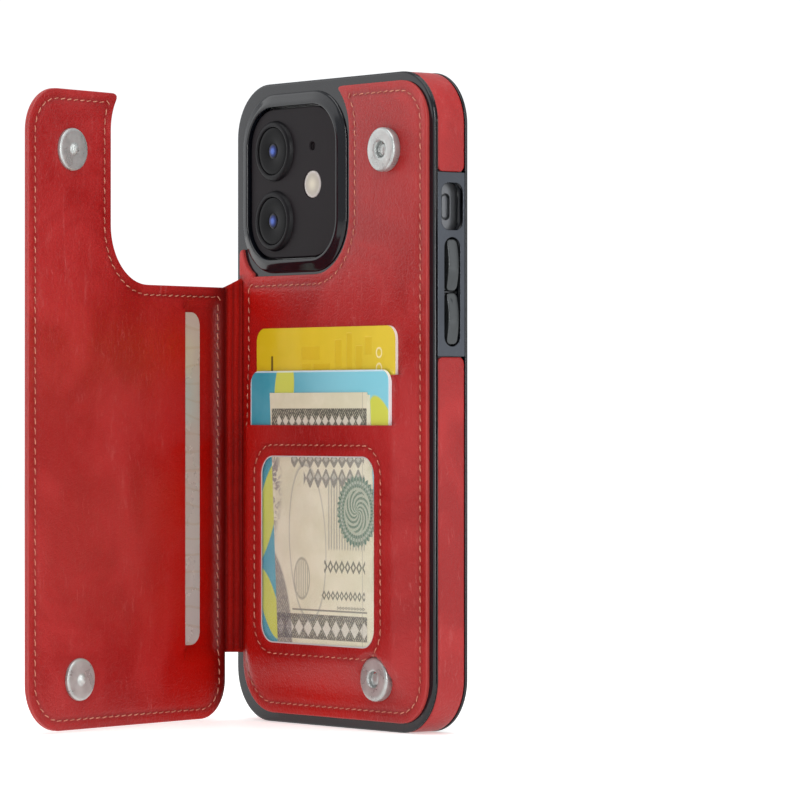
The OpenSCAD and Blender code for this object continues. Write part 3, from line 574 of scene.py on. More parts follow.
def leatherSheet(name, outline, depthAt, front, holes=(), slits=(), seams=(), skirt=(), holeSkirt=(),
                 cell=0.95, matrix=None, toneAt=noTone):
    # front is -1 where the sheet is seen from -Y and 1 from +Y
    # a skirt is a list of (in from the edge, depth, edge colour)
    verts, faces = cutSheet(outline, holes, slits, cell)
    bm = bmesh.new()
    bv = [bm.verts.new((x, 0, z)) for x, z in verts]
    bm.verts.ensure_lookup_table()
    for f in faces:
        try:
            bm.faces.new([bv[i] for i in f])
        except ValueError:
            pass
    loose = [v for v in bm.verts if not v.link_faces]
    bmesh.ops.delete(bm, geom=loose, context="VERTS")
    for s in slits:
        k, o = (2, 0) if s["axis"] == "z" else (0, 2)
        on = [e for e in bm.edges if all(
            abs(v.co[k] - s["at"]) < 1e-5 and s["low"] - 1e-5 < v.co[o] < s["high"] + 1e-5 for v in e.verts)]
        bmesh.ops.split_edges(bm, edges=on)
    bm.verts.ensure_lookup_table()
    flat = np.array([(v.co.x, v.co.z) for v in bm.verts])
    sides = []
    for s in slits:
        k = 2 if s["axis"] == "z" else 0
        across = flat[:, 1 if s["axis"] == "z" else 0] - s["at"]
        side = np.sign(across)
        for i in np.where(np.abs(across) < 1e-5)[0]:
            middle = np.mean([f.calc_center_median()[k] for f in bm.verts[i].link_faces]) - s["at"]
            side[i] = np.sign(middle)
        sides.append(side)
    d = distanceTo(flat, outline)
    dHole = np.min([distanceTo(flat, h) for h in holes], 0) if holes else np.full(len(flat), 99.0)
    depth = depthAt(flat[:, 0], flat[:, 1], d, dHole, sides)
    edgeSheenLayer = bm.verts.layers.float.new("edge")
    seamLayer = bm.verts.layers.float.new("seam")
    shadeToneLayer = bm.verts.layers.float.new("oiled")
    creaseShadeLayer = bm.verts.layers.float.new("crease")
    # the tone function gives painted shade: a deep red where little light reaches and a dark shade in the
    # creases
    oiled, crease = toneAt(flat[:, 0], flat[:, 1])
    seam = np.zeros(len(flat))
    for path in seams:
        seam = np.maximum(seam, np.exp(-(distanceTo(flat, path) / 0.55) ** 2))
    for v, (x, z), y, s, e, o, c in zip(bm.verts, flat, depth, seam, d, oiled, crease):
        v.co = (x * mm, backY - y * mm, z * mm)
        v[seamLayer], v[shadeToneLayer], v[creaseShadeLayer] = s, o, c
        # edge paint with a painted highlight along the rim
        v[edgeSheenLayer] = max(0.0, 1 - e / 0.2) * 0.5 * (x > outline[:, 0].min() + 1)
    # the slits' lips: both sides run on into the pocket
    for s, side in zip(slits, sides):
        k, o = (2, 0) if s["axis"] == "z" else (0, 2)
        for which in (-1, 1):
            rim = [e for e in bm.edges if e.is_boundary
                   and all(abs(v.co[k] / mm - s["at"]) < 1e-4 for v in e.verts)
                   and all(s["low"] - 1e-4 < v.co[o] / mm < s["high"] + 1e-4 for v in e.verts)
                   and np.sign(e.link_faces[0].calc_center_median()[k] / mm - s["at"]) == which]
            inner = s["lip"] if which == s["lipSide"] else s["floor"]
            for shift, sink in inner:
                grown = bmesh.ops.extrude_edge_only(bm, edges=rim)["geom"]
                for v in (g for g in grown if isinstance(g, bmesh.types.BMVert)):
                    v.co[k] += shift * mm
                    v.co.y += sink * mm
                    v[edgeSheenLayer] = 0.25 if which == s["lipSide"] else 0.0
                fresh = {g for g in grown if isinstance(g, bmesh.types.BMVert)}
                rim = [g for g in grown if isinstance(g, bmesh.types.BMEdge)
                       and all(v in fresh for v in g.verts)]
    for loop, steps, sign in [(outline, skirt, 1)] + [(h, holeSkirt, -1) for h in holes]:
        if not steps:
            continue
        normals = inwards(loop) * sign
        rim = [e for e in bm.edges if e.is_boundary]
        flatEnds = np.array([(v.co.x / mm, v.co.z / mm) for e in rim for v in e.verts])
        near = (distanceTo(flatEnds, loop) < 0.004).reshape(-1, 2).all(1)
        rim = [e for e, ok in zip(rim, near) if ok]
        base = {}
        for e in rim:
            for v in e.verts:
                k = int(np.argmin(np.hypot(loop[:, 0] - v.co.x / mm, loop[:, 1] - v.co.z / mm)))
                base[v] = (v.co.x / mm, v.co.z / mm, normals[k])
        for inset, level, tone in steps:
            grown = bmesh.ops.extrude_edge_only(bm, edges=rim)["geom"]
            new = [g for g in grown if isinstance(g, bmesh.types.BMVert)]
            fresh = set(new)
            source = {}
            for v in new:
                near = [e.other_vert(v) for e in v.link_edges if e.other_vert(v) not in fresh]
                near = [w for w in near if w in base]
                x, z, n = base[near[0]]
                source[v] = (x, z, n)
                v.co = ((x + n[0] * inset) * mm, backY - level * mm, (z + n[1] * inset) * mm)
                v[edgeSheenLayer] = tone
            base = source
            rim = [g for g in grown if isinstance(g, bmesh.types.BMEdge) and all(v in fresh for v in g.verts)]
    bmesh.ops.recalc_face_normals(bm, faces=bm.faces)
    lean = sum(f.normal.y * f.calc_area() for f in bm.faces)
    if lean * front < 0:
        bmesh.ops.reverse_faces(bm, faces=bm.faces)
    if matrix:
        bm.transform(matrix)
    return meshObject(name, bm)


def meshObject(name, bm, smooth=True):
    mesh = bpy.data.meshes.new(name)
    bm.to_mesh(mesh)
    bm.free()
    if smooth:
        mesh.shade_smooth()
    obj = bpy.data.objects.new(name, mesh)
    bpy.context.collection.objects.link(obj)
    return obj


def finishPiece(obj, body, material, slotName, *nodes):
    obj.data.materials.clear()
    obj.data.materials.append(material)
    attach(obj, body)
    if nodes:
        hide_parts(*nodes)
    return obj


panel = {"edgeRadius": 0.3, "seamIn": 2.35, "windowSeam": 2.5, "seamDip": 0.16, "lipRound": 0.2,
         "leftFade": 5.2, "rightFade": 7.5, "lowFade": 10.5}

panelLevels = levels("panel_leather")
panelOutline = faceLoops("panel_leather", 0)[0]
tipAt = panelOutline[np.argmin(np.hypot(panelOutline[:, 0] - 7,
                                        panelOutline[:, 1] - panelOutline[:, 1].max()))]
panelOutline = evenLoop(roundTip(evenLoop(panelOutline, 0.3), tipAt, 2.2), 0.6)
yellowLow, yellowHigh = (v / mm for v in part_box("yellow_card"))
blueLow, blueHigh = (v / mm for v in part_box("blue_card"))
topDepth = panelLevels[-1]
baseDepth = round(depthOf(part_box("yellow_card")[1].y) - 0.04, 3)
bandDepth = round(depthOf(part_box("blue_card")[1].y) - 0.04, 3)
filmDepth = depthOf(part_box("window_film")[0].y)
frontLoops = faceLoops("panel_leather", topDepth)
windowHole = evenLoop(frontLoops[1], 0.5)
frontSlitZ = frontLoops[0][:, 1].max()
rearSlitZ = faceLoops("panel_leather", bandDepth)[0][:, 1].max()
pocketX0, pocketZ0 = frontLoops[0].min(0) + 0.5
pocketX1 = frontLoops[0][:, 0].max() - 0.5
socketLow, socketHigh = (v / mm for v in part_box("lower_snap_socket"))
socketAt = ((socketLow.x + socketHigh.x) / 2, (socketLow.z + socketHigh.z) / 2)
socketRadius = (socketHigh.x - socketLow.x) / 2
rearSlit = {"axis": "z", "at": rearSlitZ, "low": yellowLow.x - 0.7, "high": yellowHigh.x + 0.7, "lipSide": -1,
            "lip": [(0.0, 0.18), (-4.0, 0.22)], "floor": [(-4.0, 0.0)]}
frontSlit = {"axis": "z", "at": frontSlitZ, "low": blueLow.x - 0.7, "high": blueHigh.x + 0.7, "lipSide": -1,
             "lip": [(0.0, 0.25), (-4.0, 0.3)], "floor": [(-4.0, 0.0)]}


def panelDepth(x, z, d, dHole, sides):
    rear = slitShare(x, z - rearSlit["at"], rearSlit, sides[0])
    front = slitShare(x, z - frontSlit["at"], frontSlit, sides[1])
    relief = (bandDepth - baseDepth) * rear + (topDepth - bandDepth) * front
    left = soft((x - (pocketX0 - panel["leftFade"])) / panel["leftFade"])
    right = soft(((pocketX1 + panel["rightFade"]) - x) / panel["rightFade"])
    low = soft((z - (pocketZ0 - panel["lowFade"])) / panel["lowFade"])
    toSocket = np.hypot(x - socketAt[0], z - socketAt[1])
    flatRound = np.where(z < pocketZ0 + 0.1,
                         np.maximum(soft((toSocket - socketRadius - 0.05) / 0.5),
                                    0.5 * soft((z - 7.5) / 7)), 1.0)
    depth = baseDepth + relief * left * right * low * flatRound
    for slit, share, side in ((rearSlit, rear, sides[0]), (frontSlit, front, sides[1])):
        between = (x > slit["low"]) & (x < slit["high"]) & (side < 0)
        depth -= np.where(between, roundOver(slit["at"] - z, panel["lipRound"]), 0)
    depth -= roundOver(d, panel["edgeRadius"])
    depth -= roundOver(dHole, 0.2)
    depth -= panel["seamDip"] * np.exp(-((d - panel["seamIn"]) / 0.5) ** 2)
    depth -= panel["seamDip"] * np.exp(-((dHole - panel["windowSeam"]) / 0.5) ** 2)
    return depth


# painted shade on the panel: a deep red over its left part by the fold and along its bottom, and a dark shade
# in the crease by the spine
def panelTone(x, z):
    x0 = panelOutline[:, 0].min()
    oiled = np.maximum(soft((26 - (x - x0)) / 26 + 0.1), soft((20 - z) / 12) * soft((62 - (x - x0)) / 26))
    return oiled * soft((116 - z) / 12), 0.8 * np.exp(-((x - x0) / 2.0) ** 2) * (z < 106)


panelSeam = insetLoop(panelOutline, panel["seamIn"])
windowSeam = insetLoop(windowHole, -panel["windowSeam"])
panelSheet = leatherSheet(
    "panelSheet", panelOutline, panelDepth, -1, holes=[windowHole], slits=[rearSlit, frontSlit],
    seams=[panelSeam, windowSeam],
    skirt=[(0.0, 0.3, 0.9), (0.0, 0.01, 0.9)], holeSkirt=[(0.0, filmDepth + 0.01, 0.3)], toneAt=panelTone)
finishPiece(panelSheet, "case", redLeather, "red_leather", "panel_leather")
print("panel made", len(panelSheet.data.polygons))

# Flap, made closed and opened by its two folds
flap = {"edgeRadius": 0.25, "seamIn": 2.35, "seamDip": 0.14, "slitRound": 0.2, "bayFade": 1.8,
        "cardTravel": 5.5, "bayEnds": 4.0,
        "padRise": 3.2, "padCrown": 0.45, "puff": 0.9, "pressure": 4.0, "enlarge": 20.0}

innerLevels = levels("flap_inner_leather", closedFlap)
outerLevels = levels("flap_outer_leather", closedFlap)
innerDepth = innerLevels[0]
floorDepth = [x for x in innerLevels if x > innerDepth + 1][0]
borderIn = outerLevels[0]
borderOut = [x for x in outerLevels if borderIn + 0.5 < x < borderIn + 1.0][0]
padDepth = outerLevels[-1]
flapOutline = faceLoops("flap_inner_leather", innerDepth, closedFlap)[0]
tipAt = flapOutline[np.argmin(np.hypot(flapOutline[:, 0] - 4, flapOutline[:, 1] - flapOutline[:, 1].max()))]
flapOutline = evenLoop(roundTip(evenLoop(flapOutline, 0.3), tipAt, 2.6), 0.6)
padOutline = faceLoops("flap_outer_leather", padDepth, closedFlap)[0]
cardBm = cadCopy("flap_card", closedFlap)
cardPoints = np.array([(v.co.x / mm, v.co.z / mm) for v in cardBm.verts])
cardBm.free()
flapCardLow, flapCardHigh = cardPoints.min(0), cardPoints.max(0)
bayLoops = faceLoops("flap_inner_leather", floorDepth, closedFlap)
slitX = bayLoops[0][:, 0].max()
flapSlit = {"axis": "x", "at": slitX, "low": flapCardLow[1] - 0.5, "high": flapCardHigh[1] + 0.5,
            "lipSide": 1,
            "lip": [(0.0, -0.3), (4.0, -0.35)], "floor": [(4.0, 0.0)]}
print("flap levels", innerDepth, floorDepth, borderIn, borderOut, padDepth, slitX)


def innerFlapDepth(x, z, d, dHole, sides):
    sunk = slitShare(z, x - flapSlit["at"], flapSlit, sides[0])
    bayStart = flapCardLow[0] - flap["cardTravel"] - 0.1
    side = soft((x - (bayStart - flap["bayFade"])) / flap["bayFade"])
    low = soft((z - (flapSlit["low"] - flap["bayEnds"])) / flap["bayEnds"])
    high = soft(((flapSlit["high"] + flap["bayEnds"]) - z) / flap["bayEnds"])
    depth = innerDepth + (floorDepth - innerDepth) * sunk * side * low * high
    between = (z > flapSlit["low"]) & (z < flapSlit["high"]) & (sides[0] > 0)
    depth += np.where(between, roundOver(x - flapSlit["at"], flap["slitRound"]), 0)
    depth += roundOver(d, flap["edgeRadius"])
    depth += flap["seamDip"] * np.exp(-((d - flap["seamIn"]) / 0.5) ** 2)
    return depth


# painted shade on the flap: a deep red by the spine and towards the bottom, and a dark shade in the crease by
# the spine
def flapTone(x, z):
    from0 = x - flapOutline[:, 0].min()
    oiled = soft((40 - from0) / 34) * soft((108 - z) / 24)
    return oiled, 0.9 * np.exp(-(from0 / 4.6) ** 2)


flapSeam = insetLoop(flapOutline, flap["seamIn"])
innerSheet = leatherSheet(
    "flapInnerSheet", flapOutline, innerFlapDepth, 1, slits=[flapSlit], seams=[flapSeam],
    skirt=[(0.0, borderIn - 0.12, 0.9), (0.35, borderIn - 0.03, 0.6)], matrix=openFlap, toneAt=flapTone)
finishPiece(innerSheet, "flap", redLeather, "red_leather", "flap_inner_leather", "flap_board")


def outerFlapDepth(x, z, d, dHole, sides):
    points = np.stack([x, z], 1)
    into = distanceTo(points, padOutline) * np.where(insideOf(points, padOutline), 1, -1)
    t = np.clip((into + 0.35) / flap["padRise"], 0, 1)
    rise = np.sqrt(1 - (1 - t) ** 2)
    depth = borderOut + (padDepth - borderOut) * rise + flap["padCrown"] * soft(into / 16)
    depth -= roundOver(d, flap["edgeRadius"] + 0.05)
    depth -= flap["seamDip"] * np.exp(-((d - flap["seamIn"]) / 0.5) ** 2)
    return depth


def puffed(obj, loose):
    # cloth with a little pressure, on an enlarged copy, held where loose is 0 and moved by no more than puff
    rest = np.array([v.co for v in obj.data.vertices])
    big = bpy.data.objects.new(obj.name + "Puff", obj.data.copy())
    bpy.context.collection.objects.link(big)
    big.data.vertices.foreach_set("co", (rest * flap["enlarge"]).ravel())
    held = big.vertex_groups.new(name="held")
    for i, w in enumerate(loose):
        if w < 0.999:
            held.add([i], 1.0 - float(w), "REPLACE")
    cloth = big.modifiers.new("cloth", "CLOTH")
    cloth.settings.vertex_group_mass = "held"
    cloth.settings.quality = 5
    cloth.settings.use_pressure = True
    cloth.settings.uniform_pressure_force = flap["pressure"]
    cloth.settings.tension_stiffness = cloth.settings.compression_stiffness = 12
    cloth.settings.bending_stiffness = 0.8
    cloth.settings.effector_weights.gravity = 0
    cloth.collision_settings.use_collision = False
    scene = bpy.context.scene
    for f in range(1, 21):
        scene.frame_set(f)
    swollen = big.evaluated_get(bpy.context.evaluated_depsgraph_get()).data
    moved = np.array([v.co for v in swollen.vertices]) / flap["enlarge"]
    scene.frame_set(1)
    shift = moved - rest
    size = np.linalg.norm(shift, axis=1)[:, None] / mm
    shift *= np.minimum(1, flap["puff"] / np.maximum(size, 1e-9))
    obj.data.vertices.foreach_set("co", (rest + shift).ravel())
    bpy.data.objects.remove(big)
    print("puffed", obj.name, "by up to", round(float(np.linalg.norm(shift, axis=1).max() / mm), 2), "mm")


outerSheet = leatherSheet(
    "flapOuterSheet", flapOutline, outerFlapDepth, -1, seams=[flapSeam],
    skirt=[(0.0, borderIn + 0.12, 0.9), (0.35, borderIn + 0.03, 0.6)], cell=1.1)
flatPoints = np.array([(v.co.x / mm, v.co.z / mm) for v in outerSheet.data.vertices])
into = distanceTo(flatPoints, padOutline) * np.where(insideOf(flatPoints, padOutline), 1, -1)
puffed(outerSheet, soft(into / 3.0))
outerSheet.data.transform(openFlap)
finishPiece(outerSheet, "flap", redLeather, "red_leather", "flap_outer_leather", "flap_foam")
print("flap made")

# Spine in two halves, shaped along the leather's line over both folds
spine = {"panelHalf": 0.45, "middleHalf": 0.34, "flapHalf": 0.6, "reach": 1.3, "topLow": 1.3, "topHigh": 1.4}

foldOne = Vector(joints["spine_fold"]["pos_m"])
foldTwo = Vector(joints["flap_fold"]["pos_m"])
panelEdgeX = panelOutline[:, 0][(panelOutline[:, 1] > 30) & (panelOutline[:, 1] < 90)].min() * mm
spineLow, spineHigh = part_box("spine_leather")
panelPoint = Vector((panelEdgeX, foldOne.y, 0))
flapPoint = openFlap @ Vector((flapOutline[:, 0].min() * mm, backY - (innerDepth + borderOut) / 2 * mm, 0))


def foldedLine():
    # the middle of the leather from the panel's edge, over both folds, to the flap's edge
    corners = [panelPoint, Vector((foldOne.x, foldOne.y, 0)), Vector((foldTwo.x, foldTwo.y, 0)), flapPoint]
    p = np.array([c[:2] for c in corners])
    for turn in range(4):
        q = [p[0]]
        for a, b in zip(p[:-1], p[1:]):
            q += [a * 0.75 + b * 0.25, a * 0.25 + b * 0.75]
        p = np.array(q[:1] + q[1:] + [p[-1]])
    along = np.concatenate([[0], np.cumsum(np.linalg.norm(np.diff(p, axis=0), axis=1))])
    s = np.linspace(0, along[-1], 41)
    return np.stack([np.interp(s, along, p[:, 0]), np.interp(s, along, p[:, 1])], 1), s / along[-1]


spineLine, spineShare = foldedLine()


def spinePart(name, first, last):
    line = spineLine[first:last + 1]
    share = spineShare[first:last + 1]
    ahead = np.gradient(spineLine, axis=0)[first:last + 1]
    ahead /= np.linalg.norm(ahead, axis=1)[:, None]
    out = np.stack([ahead[:, 1], -ahead[:, 0]], 1)
    half = np.interp(share, [0, 0.25, 0.75, 1],
                     [spine["panelHalf"], spine["middleHalf"], spine["middleHalf"], spine["flapHalf"]]) * mm
    bm = bmesh.new()
    rows = 90
    layersOf = []
    edgeSheenLayer = bm.verts.layers.float.new("edge")
    creaseShadeLayer = bm.verts.layers.float.new("crease")
    for side in (1, -1):
        grid = []
        for k, ((x, y), (nx, ny), h, t) in enumerate(zip(line, out, half, share)):
            low = spineLow.z
            high = spineHigh.z + (spine["topHigh"] * (1 - t) - spine["topLow"] * t) * mm
            column = []
            for r in range(rows + 1):
                z = low + (high - low) * r / rows
                near = min(z - low, high - z) / mm
                pull = float(roundOver(np.array(near), 0.3)) * mm
                drift = 0.5 * math.sin(z / mm * 0.06) + 0.25 * math.sin(z / mm * 0.21)
                pleat = math.sin(6.5 * math.pi * t + drift)
                wave = 0.07 * mm * pleat * math.sin(math.pi * t)
                v = bm.verts.new((x + nx * side * (h - pull) + nx * wave,
                                  y + ny * side * (h - pull) + ny * wave, z))
                # edge paint with a painted highlight on the cut edges
                v[edgeSheenLayer] = 0.4 if near < 0.05 else 0.0
                # painted shade in the creases at both folds and in the troughs of the pleats
                ends = math.exp(-(t / 0.16) ** 2) + math.exp(-((1 - t) / 0.16) ** 2)
                v[creaseShadeLayer] = min(0.85, 0.7 * ends + 0.45 * max(0.0, -pleat))
                column.append(v)
            grid.append(column)
        layersOf.append(grid)
        for a, b in zip(grid[:-1], grid[1:]):
            for r in range(rows):
                bm.faces.new((a[r], b[r], b[r + 1], a[r + 1]))
    top, bottom = layersOf
    for r in (0, rows):
        for k in range(len(line) - 1):
            bm.faces.new((top[k][r], top[k + 1][r], bottom[k + 1][r], bottom[k][r]))
    for k in (0, len(line) - 1):
        for r in range(rows):
            bm.faces.new((top[k][r], top[k][r + 1], bottom[k][r + 1], bottom[k][r]))
    bmesh.ops.recalc_face_normals(bm, faces=bm.faces)
    obj = meshObject(name, bm)
    obj.data.materials.append(foldLeather)
    return obj


middle = len(spineLine) // 2
reach = spine["reach"] * mm
spinePanel = spinePart("spinePanelHalf", 0, middle)
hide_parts("spine_leather")
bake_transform(spinePanel)
spineFlap = spinePart("spineFlapHalf", middle, len(spineLine) - 1)
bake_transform(spineFlap)
print("spine made")

# Stitches, one Geometry Nodes tree for all the seams
stitch = {"Pitch": 2.3, "Length": 1.65, "Thread": 0.145, "Rise": 0.36, "Sink": 0.11, "Slant": 10.0,
          "Hole": 0.22}


def stitchTree(thread, hole):
    tree = bpy.data.node_groups.new("stitches", "GeometryNodeTree")
    tree.interface.new_socket("Geometry", in_out="INPUT", socket_type="NodeSocketGeometry")
    for label in stitch:
        socket = tree.interface.new_socket(label, in_out="INPUT", socket_type="NodeSocketFloat")
        socket.default_value = stitch[label]
    tree.interface.new_socket("Geometry", in_out="OUTPUT", socket_type="NodeSocketGeometry")
    given = tree.nodes.new("NodeGroupInput")
    result = tree.nodes.new("NodeGroupOutput")

    def calc(op, a, b):
        return mathNode(tree, op, a, b)

    def vector(x, y, z):
        n = tree.nodes.new("ShaderNodeCombineXYZ")
        for i, v in enumerate((x, y, z)):
            if isinstance(v, (int, float)):
                n.inputs[i].default_value = v
            else:
                wire(tree, v, n.inputs[i])
        return n.outputs[0]

    half = calc("MULTIPLY", given.outputs["Length"], 0.5 * mm)
    sink = calc("MULTIPLY", given.outputs["Sink"], -mm)
    arch = tree.nodes.new("GeometryNodeCurveQuadraticBezier")
    arch.inputs["Resolution"].default_value = 6
    wire(tree, vector(calc("MULTIPLY", half, -1.0), 0, sink), arch.inputs["Start"])
    wire(tree, vector(0, 0, calc("MULTIPLY", given.outputs["Rise"], mm)), arch.inputs["Middle"])
    wire(tree, vector(half, 0, sink), arch.inputs["End"])
    round_ = tree.nodes.new("GeometryNodeCurvePrimitiveCircle")
    round_.inputs["Resolution"].default_value = 6
    wire(tree, calc("MULTIPLY", given.outputs["Thread"], mm), round_.inputs["Radius"])
    body = tree.nodes.new("GeometryNodeCurveToMesh")
    wire(tree, arch.outputs[0], body.inputs["Curve"])
    wire(tree, round_.outputs[0], body.inputs["Profile Curve"])
    body.inputs["Fill Caps"].default_value = True
    # a dark disc at each end of a stitch: painted shade of the stitch hole
    disc = tree.nodes.new("GeometryNodeMeshCircle")
    disc.fill_type = "NGON"
    disc.inputs["Vertices"].default_value = 8
    wire(tree, calc("MULTIPLY", given.outputs["Hole"], mm), disc.inputs["Radius"])
    mark = tree.nodes.new("GeometryNodeStoreNamedAttribute")
    mark.data_type, mark.domain = "BOOLEAN", "FACE"
    mark.inputs["Name"].default_value = "isHole"
    mark.inputs["Value"].default_value = True
    wire(tree, disc.outputs["Mesh"], mark.inputs["Geometry"])
    joined = tree.nodes.new("GeometryNodeJoinGeometry")
    wire(tree, body.outputs["Mesh"], joined.inputs[0])
    for sign in (-1.0, 1.0):
        shifted = tree.nodes.new("GeometryNodeTransform")
        wire(tree, mark.outputs["Geometry"], shifted.inputs["Geometry"])
        wire(tree, vector(calc("MULTIPLY", half, sign * 0.93), 0, 0.015 * mm), shifted.inputs["Translation"])
        wire(tree, shifted.outputs["Geometry"], joined.inputs[0])
    curve = tree.nodes.new("GeometryNodeMeshToCurve")
    wire(tree, given.outputs["Geometry"], curve.inputs["Mesh"])
    even = tree.nodes.new("GeometryNodeResampleCurve")
    even.mode = "LENGTH"
    wire(tree, curve.outputs["Curve"], even.inputs["Curve"])
    wire(tree, calc("MULTIPLY", given.outputs["Pitch"], mm), even.inputs["Length"])
    outward = tree.nodes.new("GeometryNodeInputNamedAttribute")
    outward.data_type = "FLOAT_VECTOR"
    outward.inputs["Name"].default_value = "outward"
    tangent = tree.nodes.new("GeometryNodeInputTangent")
    axes = tree.nodes.new("FunctionNodeAxesToRotation")
    axes.primary_axis, axes.secondary_axis = "Z", "X"
    wire(tree, outward.outputs["Attribute"], axes.inputs["Primary Axis"])
    wire(tree, tangent.outputs[0], axes.inputs["Secondary Axis"])
    jitter = tree.nodes.new("FunctionNodeRandomValue")
    jitter.data_type = "FLOAT"
    jitter.inputs[2].default_value, jitter.inputs[3].default_value = -3.0, 3.0
    jitter.inputs["Seed"].default_value = 7
    angle = calc("RADIANS", calc("ADD", given.outputs["Slant"], jitter.outputs[1]), None)
    twist = tree.nodes.new("FunctionNodeEulerToRotation")
    wire(tree, vector(0, 0, angle), twist.inputs[0])
    spin = tree.nodes.new("FunctionNodeRotateRotation")
    spin.rotation_space = "LOCAL"
    wire(tree, axes.outputs[0], spin.inputs[0])
    wire(tree, twist.outputs[0], spin.inputs[1])
    copies = tree.nodes.new("GeometryNodeInstanceOnPoints")
    wire(tree, even.outputs["Curve"], copies.inputs["Points"])
    wire(tree, joined.outputs[0], copies.inputs["Instance"])
    wire(tree, spin.outputs[0], copies.inputs["Rotation"])
    real = tree.nodes.new("GeometryNodeRealizeInstances")
    wire(tree, copies.outputs[0], real.inputs[0])
    paint = tree.nodes.new("GeometryNodeSetMaterial")
    paint.inputs["Material"].default_value = thread
    wire(tree, real.outputs[0], paint.inputs["Geometry"])
    isHole = tree.nodes.new("GeometryNodeInputNamedAttribute")
    isHole.data_type = "BOOLEAN"
    isHole.inputs["Name"].default_value = "isHole"
    paintHole = tree.nodes.new("GeometryNodeSetMaterial")
    paintHole.inputs["Material"].default_value = hole
    wire(tree, paint.outputs[0], paintHole.inputs["Geometry"])
    wire(tree, isHole.outputs["Attribute"], paintHole.inputs["Selection"])
    wire(tree, paintHole.outputs[0], result.inputs[0])
    return tree


def seamLine(path, depthAt, front, matrix=None, step=0.5, slits=1):
    # points in space along a seam and the way out of the leather at each
    even = evenLoop(path, step, corner=400.0)
    off = np.full(len(even), 99.0)
    onPanel = slits == 2
    loop = panelOutline if onPanel else flapOutline

    def level(p):
        hole = distanceTo(p, windowHole) if onPanel else off
        if onPanel:
            sides = [np.sign(p[:, 1] - rearSlit["at"]), np.sign(p[:, 1] - frontSlit["at"])]
        else:
            sides = [np.sign(p[:, 0] - flapSlit["at"])]
        return depthAt(p[:, 0], p[:, 1], distanceTo(p, loop), hole, sides)

    here = level(even)
    reach = 0.6
    slopeX = (level(even + (reach, 0)) - level(even - (reach, 0))) / (2 * reach)
    slopeZ = (level(even + (0, reach)) - level(even - (0, reach))) / (2 * reach)
    points = [Vector((x * mm, backY - y * mm, z * mm)) for (x, z), y in zip(even, here)]
    out = [Vector((a, 1, b)).normalized() * front for a, b in zip(slopeX, slopeZ)]
    if matrix:
        points = [matrix @ p for p in points]
        out = [(matrix.to_3x3() @ n).normalized() for n in out]
    return points, out


def sewn(name, body, lines, tree, values=None):
    mesh = bpy.data.meshes.new(name + "Path")
    verts, edges, outs = [], [], []
    for points, out in lines:
        first = len(verts)
        verts += [tuple(p) for p in points]
        outs += [tuple(n) for n in out]
        edges += [(first + i, first + (i + 1) % len(points)) for i in range(len(points))]
    mesh.from_pydata(verts, edges, [])
    attribute = mesh.attributes.new("outward", "FLOAT_VECTOR", "POINT")
    attribute.data.foreach_set("vector", np.array(outs, np.float32).ravel())
    obj = bpy.data.objects.new(name, mesh)
    bpy.context.collection.objects.link(obj)
    modifier = obj.modifiers.new("stitches", "NODES")
    modifier.node_group = tree
    for item in tree.interface.items_tree:
        if item.in_out == "INPUT" and item.name in (values or {}):
            modifier[item.identifier] = values[item.name]
    result = bpy.data.meshes.new_from_object(obj.evaluated_get(bpy.context.evaluated_depsgraph_get()))
    obj.modifiers.clear()
    obj.data = result
    for key in ("outward", "isHole"):
        if key in result.attributes:
            result.attributes.remove(result.attributes[key])
    result.shade_smooth()
    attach(obj, body)
    print(name, len(result.polygons))
    return obj


pinkTree = stitchTree(threadPink, holeDark)
tanTree = stitchTree(threadTan, holeDark)
sewn("panelStitches", "case", [seamLine(panelSeam, panelDepth, -1, slits=2),
                               seamLine(windowSeam, panelDepth, -1, slits=2)], pinkTree)
sewn("flapInnerStitches", "flap", [seamLine(flapSeam, innerFlapDepth, 1, openFlap)], pinkTree)
sewn("flapOuterStitches", "flap", [seamLine(flapSeam, outerFlapDepth, -1, openFlap)], tanTree,
     {"Slant": -9.0})


# Leather strips in the side channel
strip = {"floor": 0.56, "top": 0.03, "edge": 0.45, "end": 1.6, "step": 0.8}


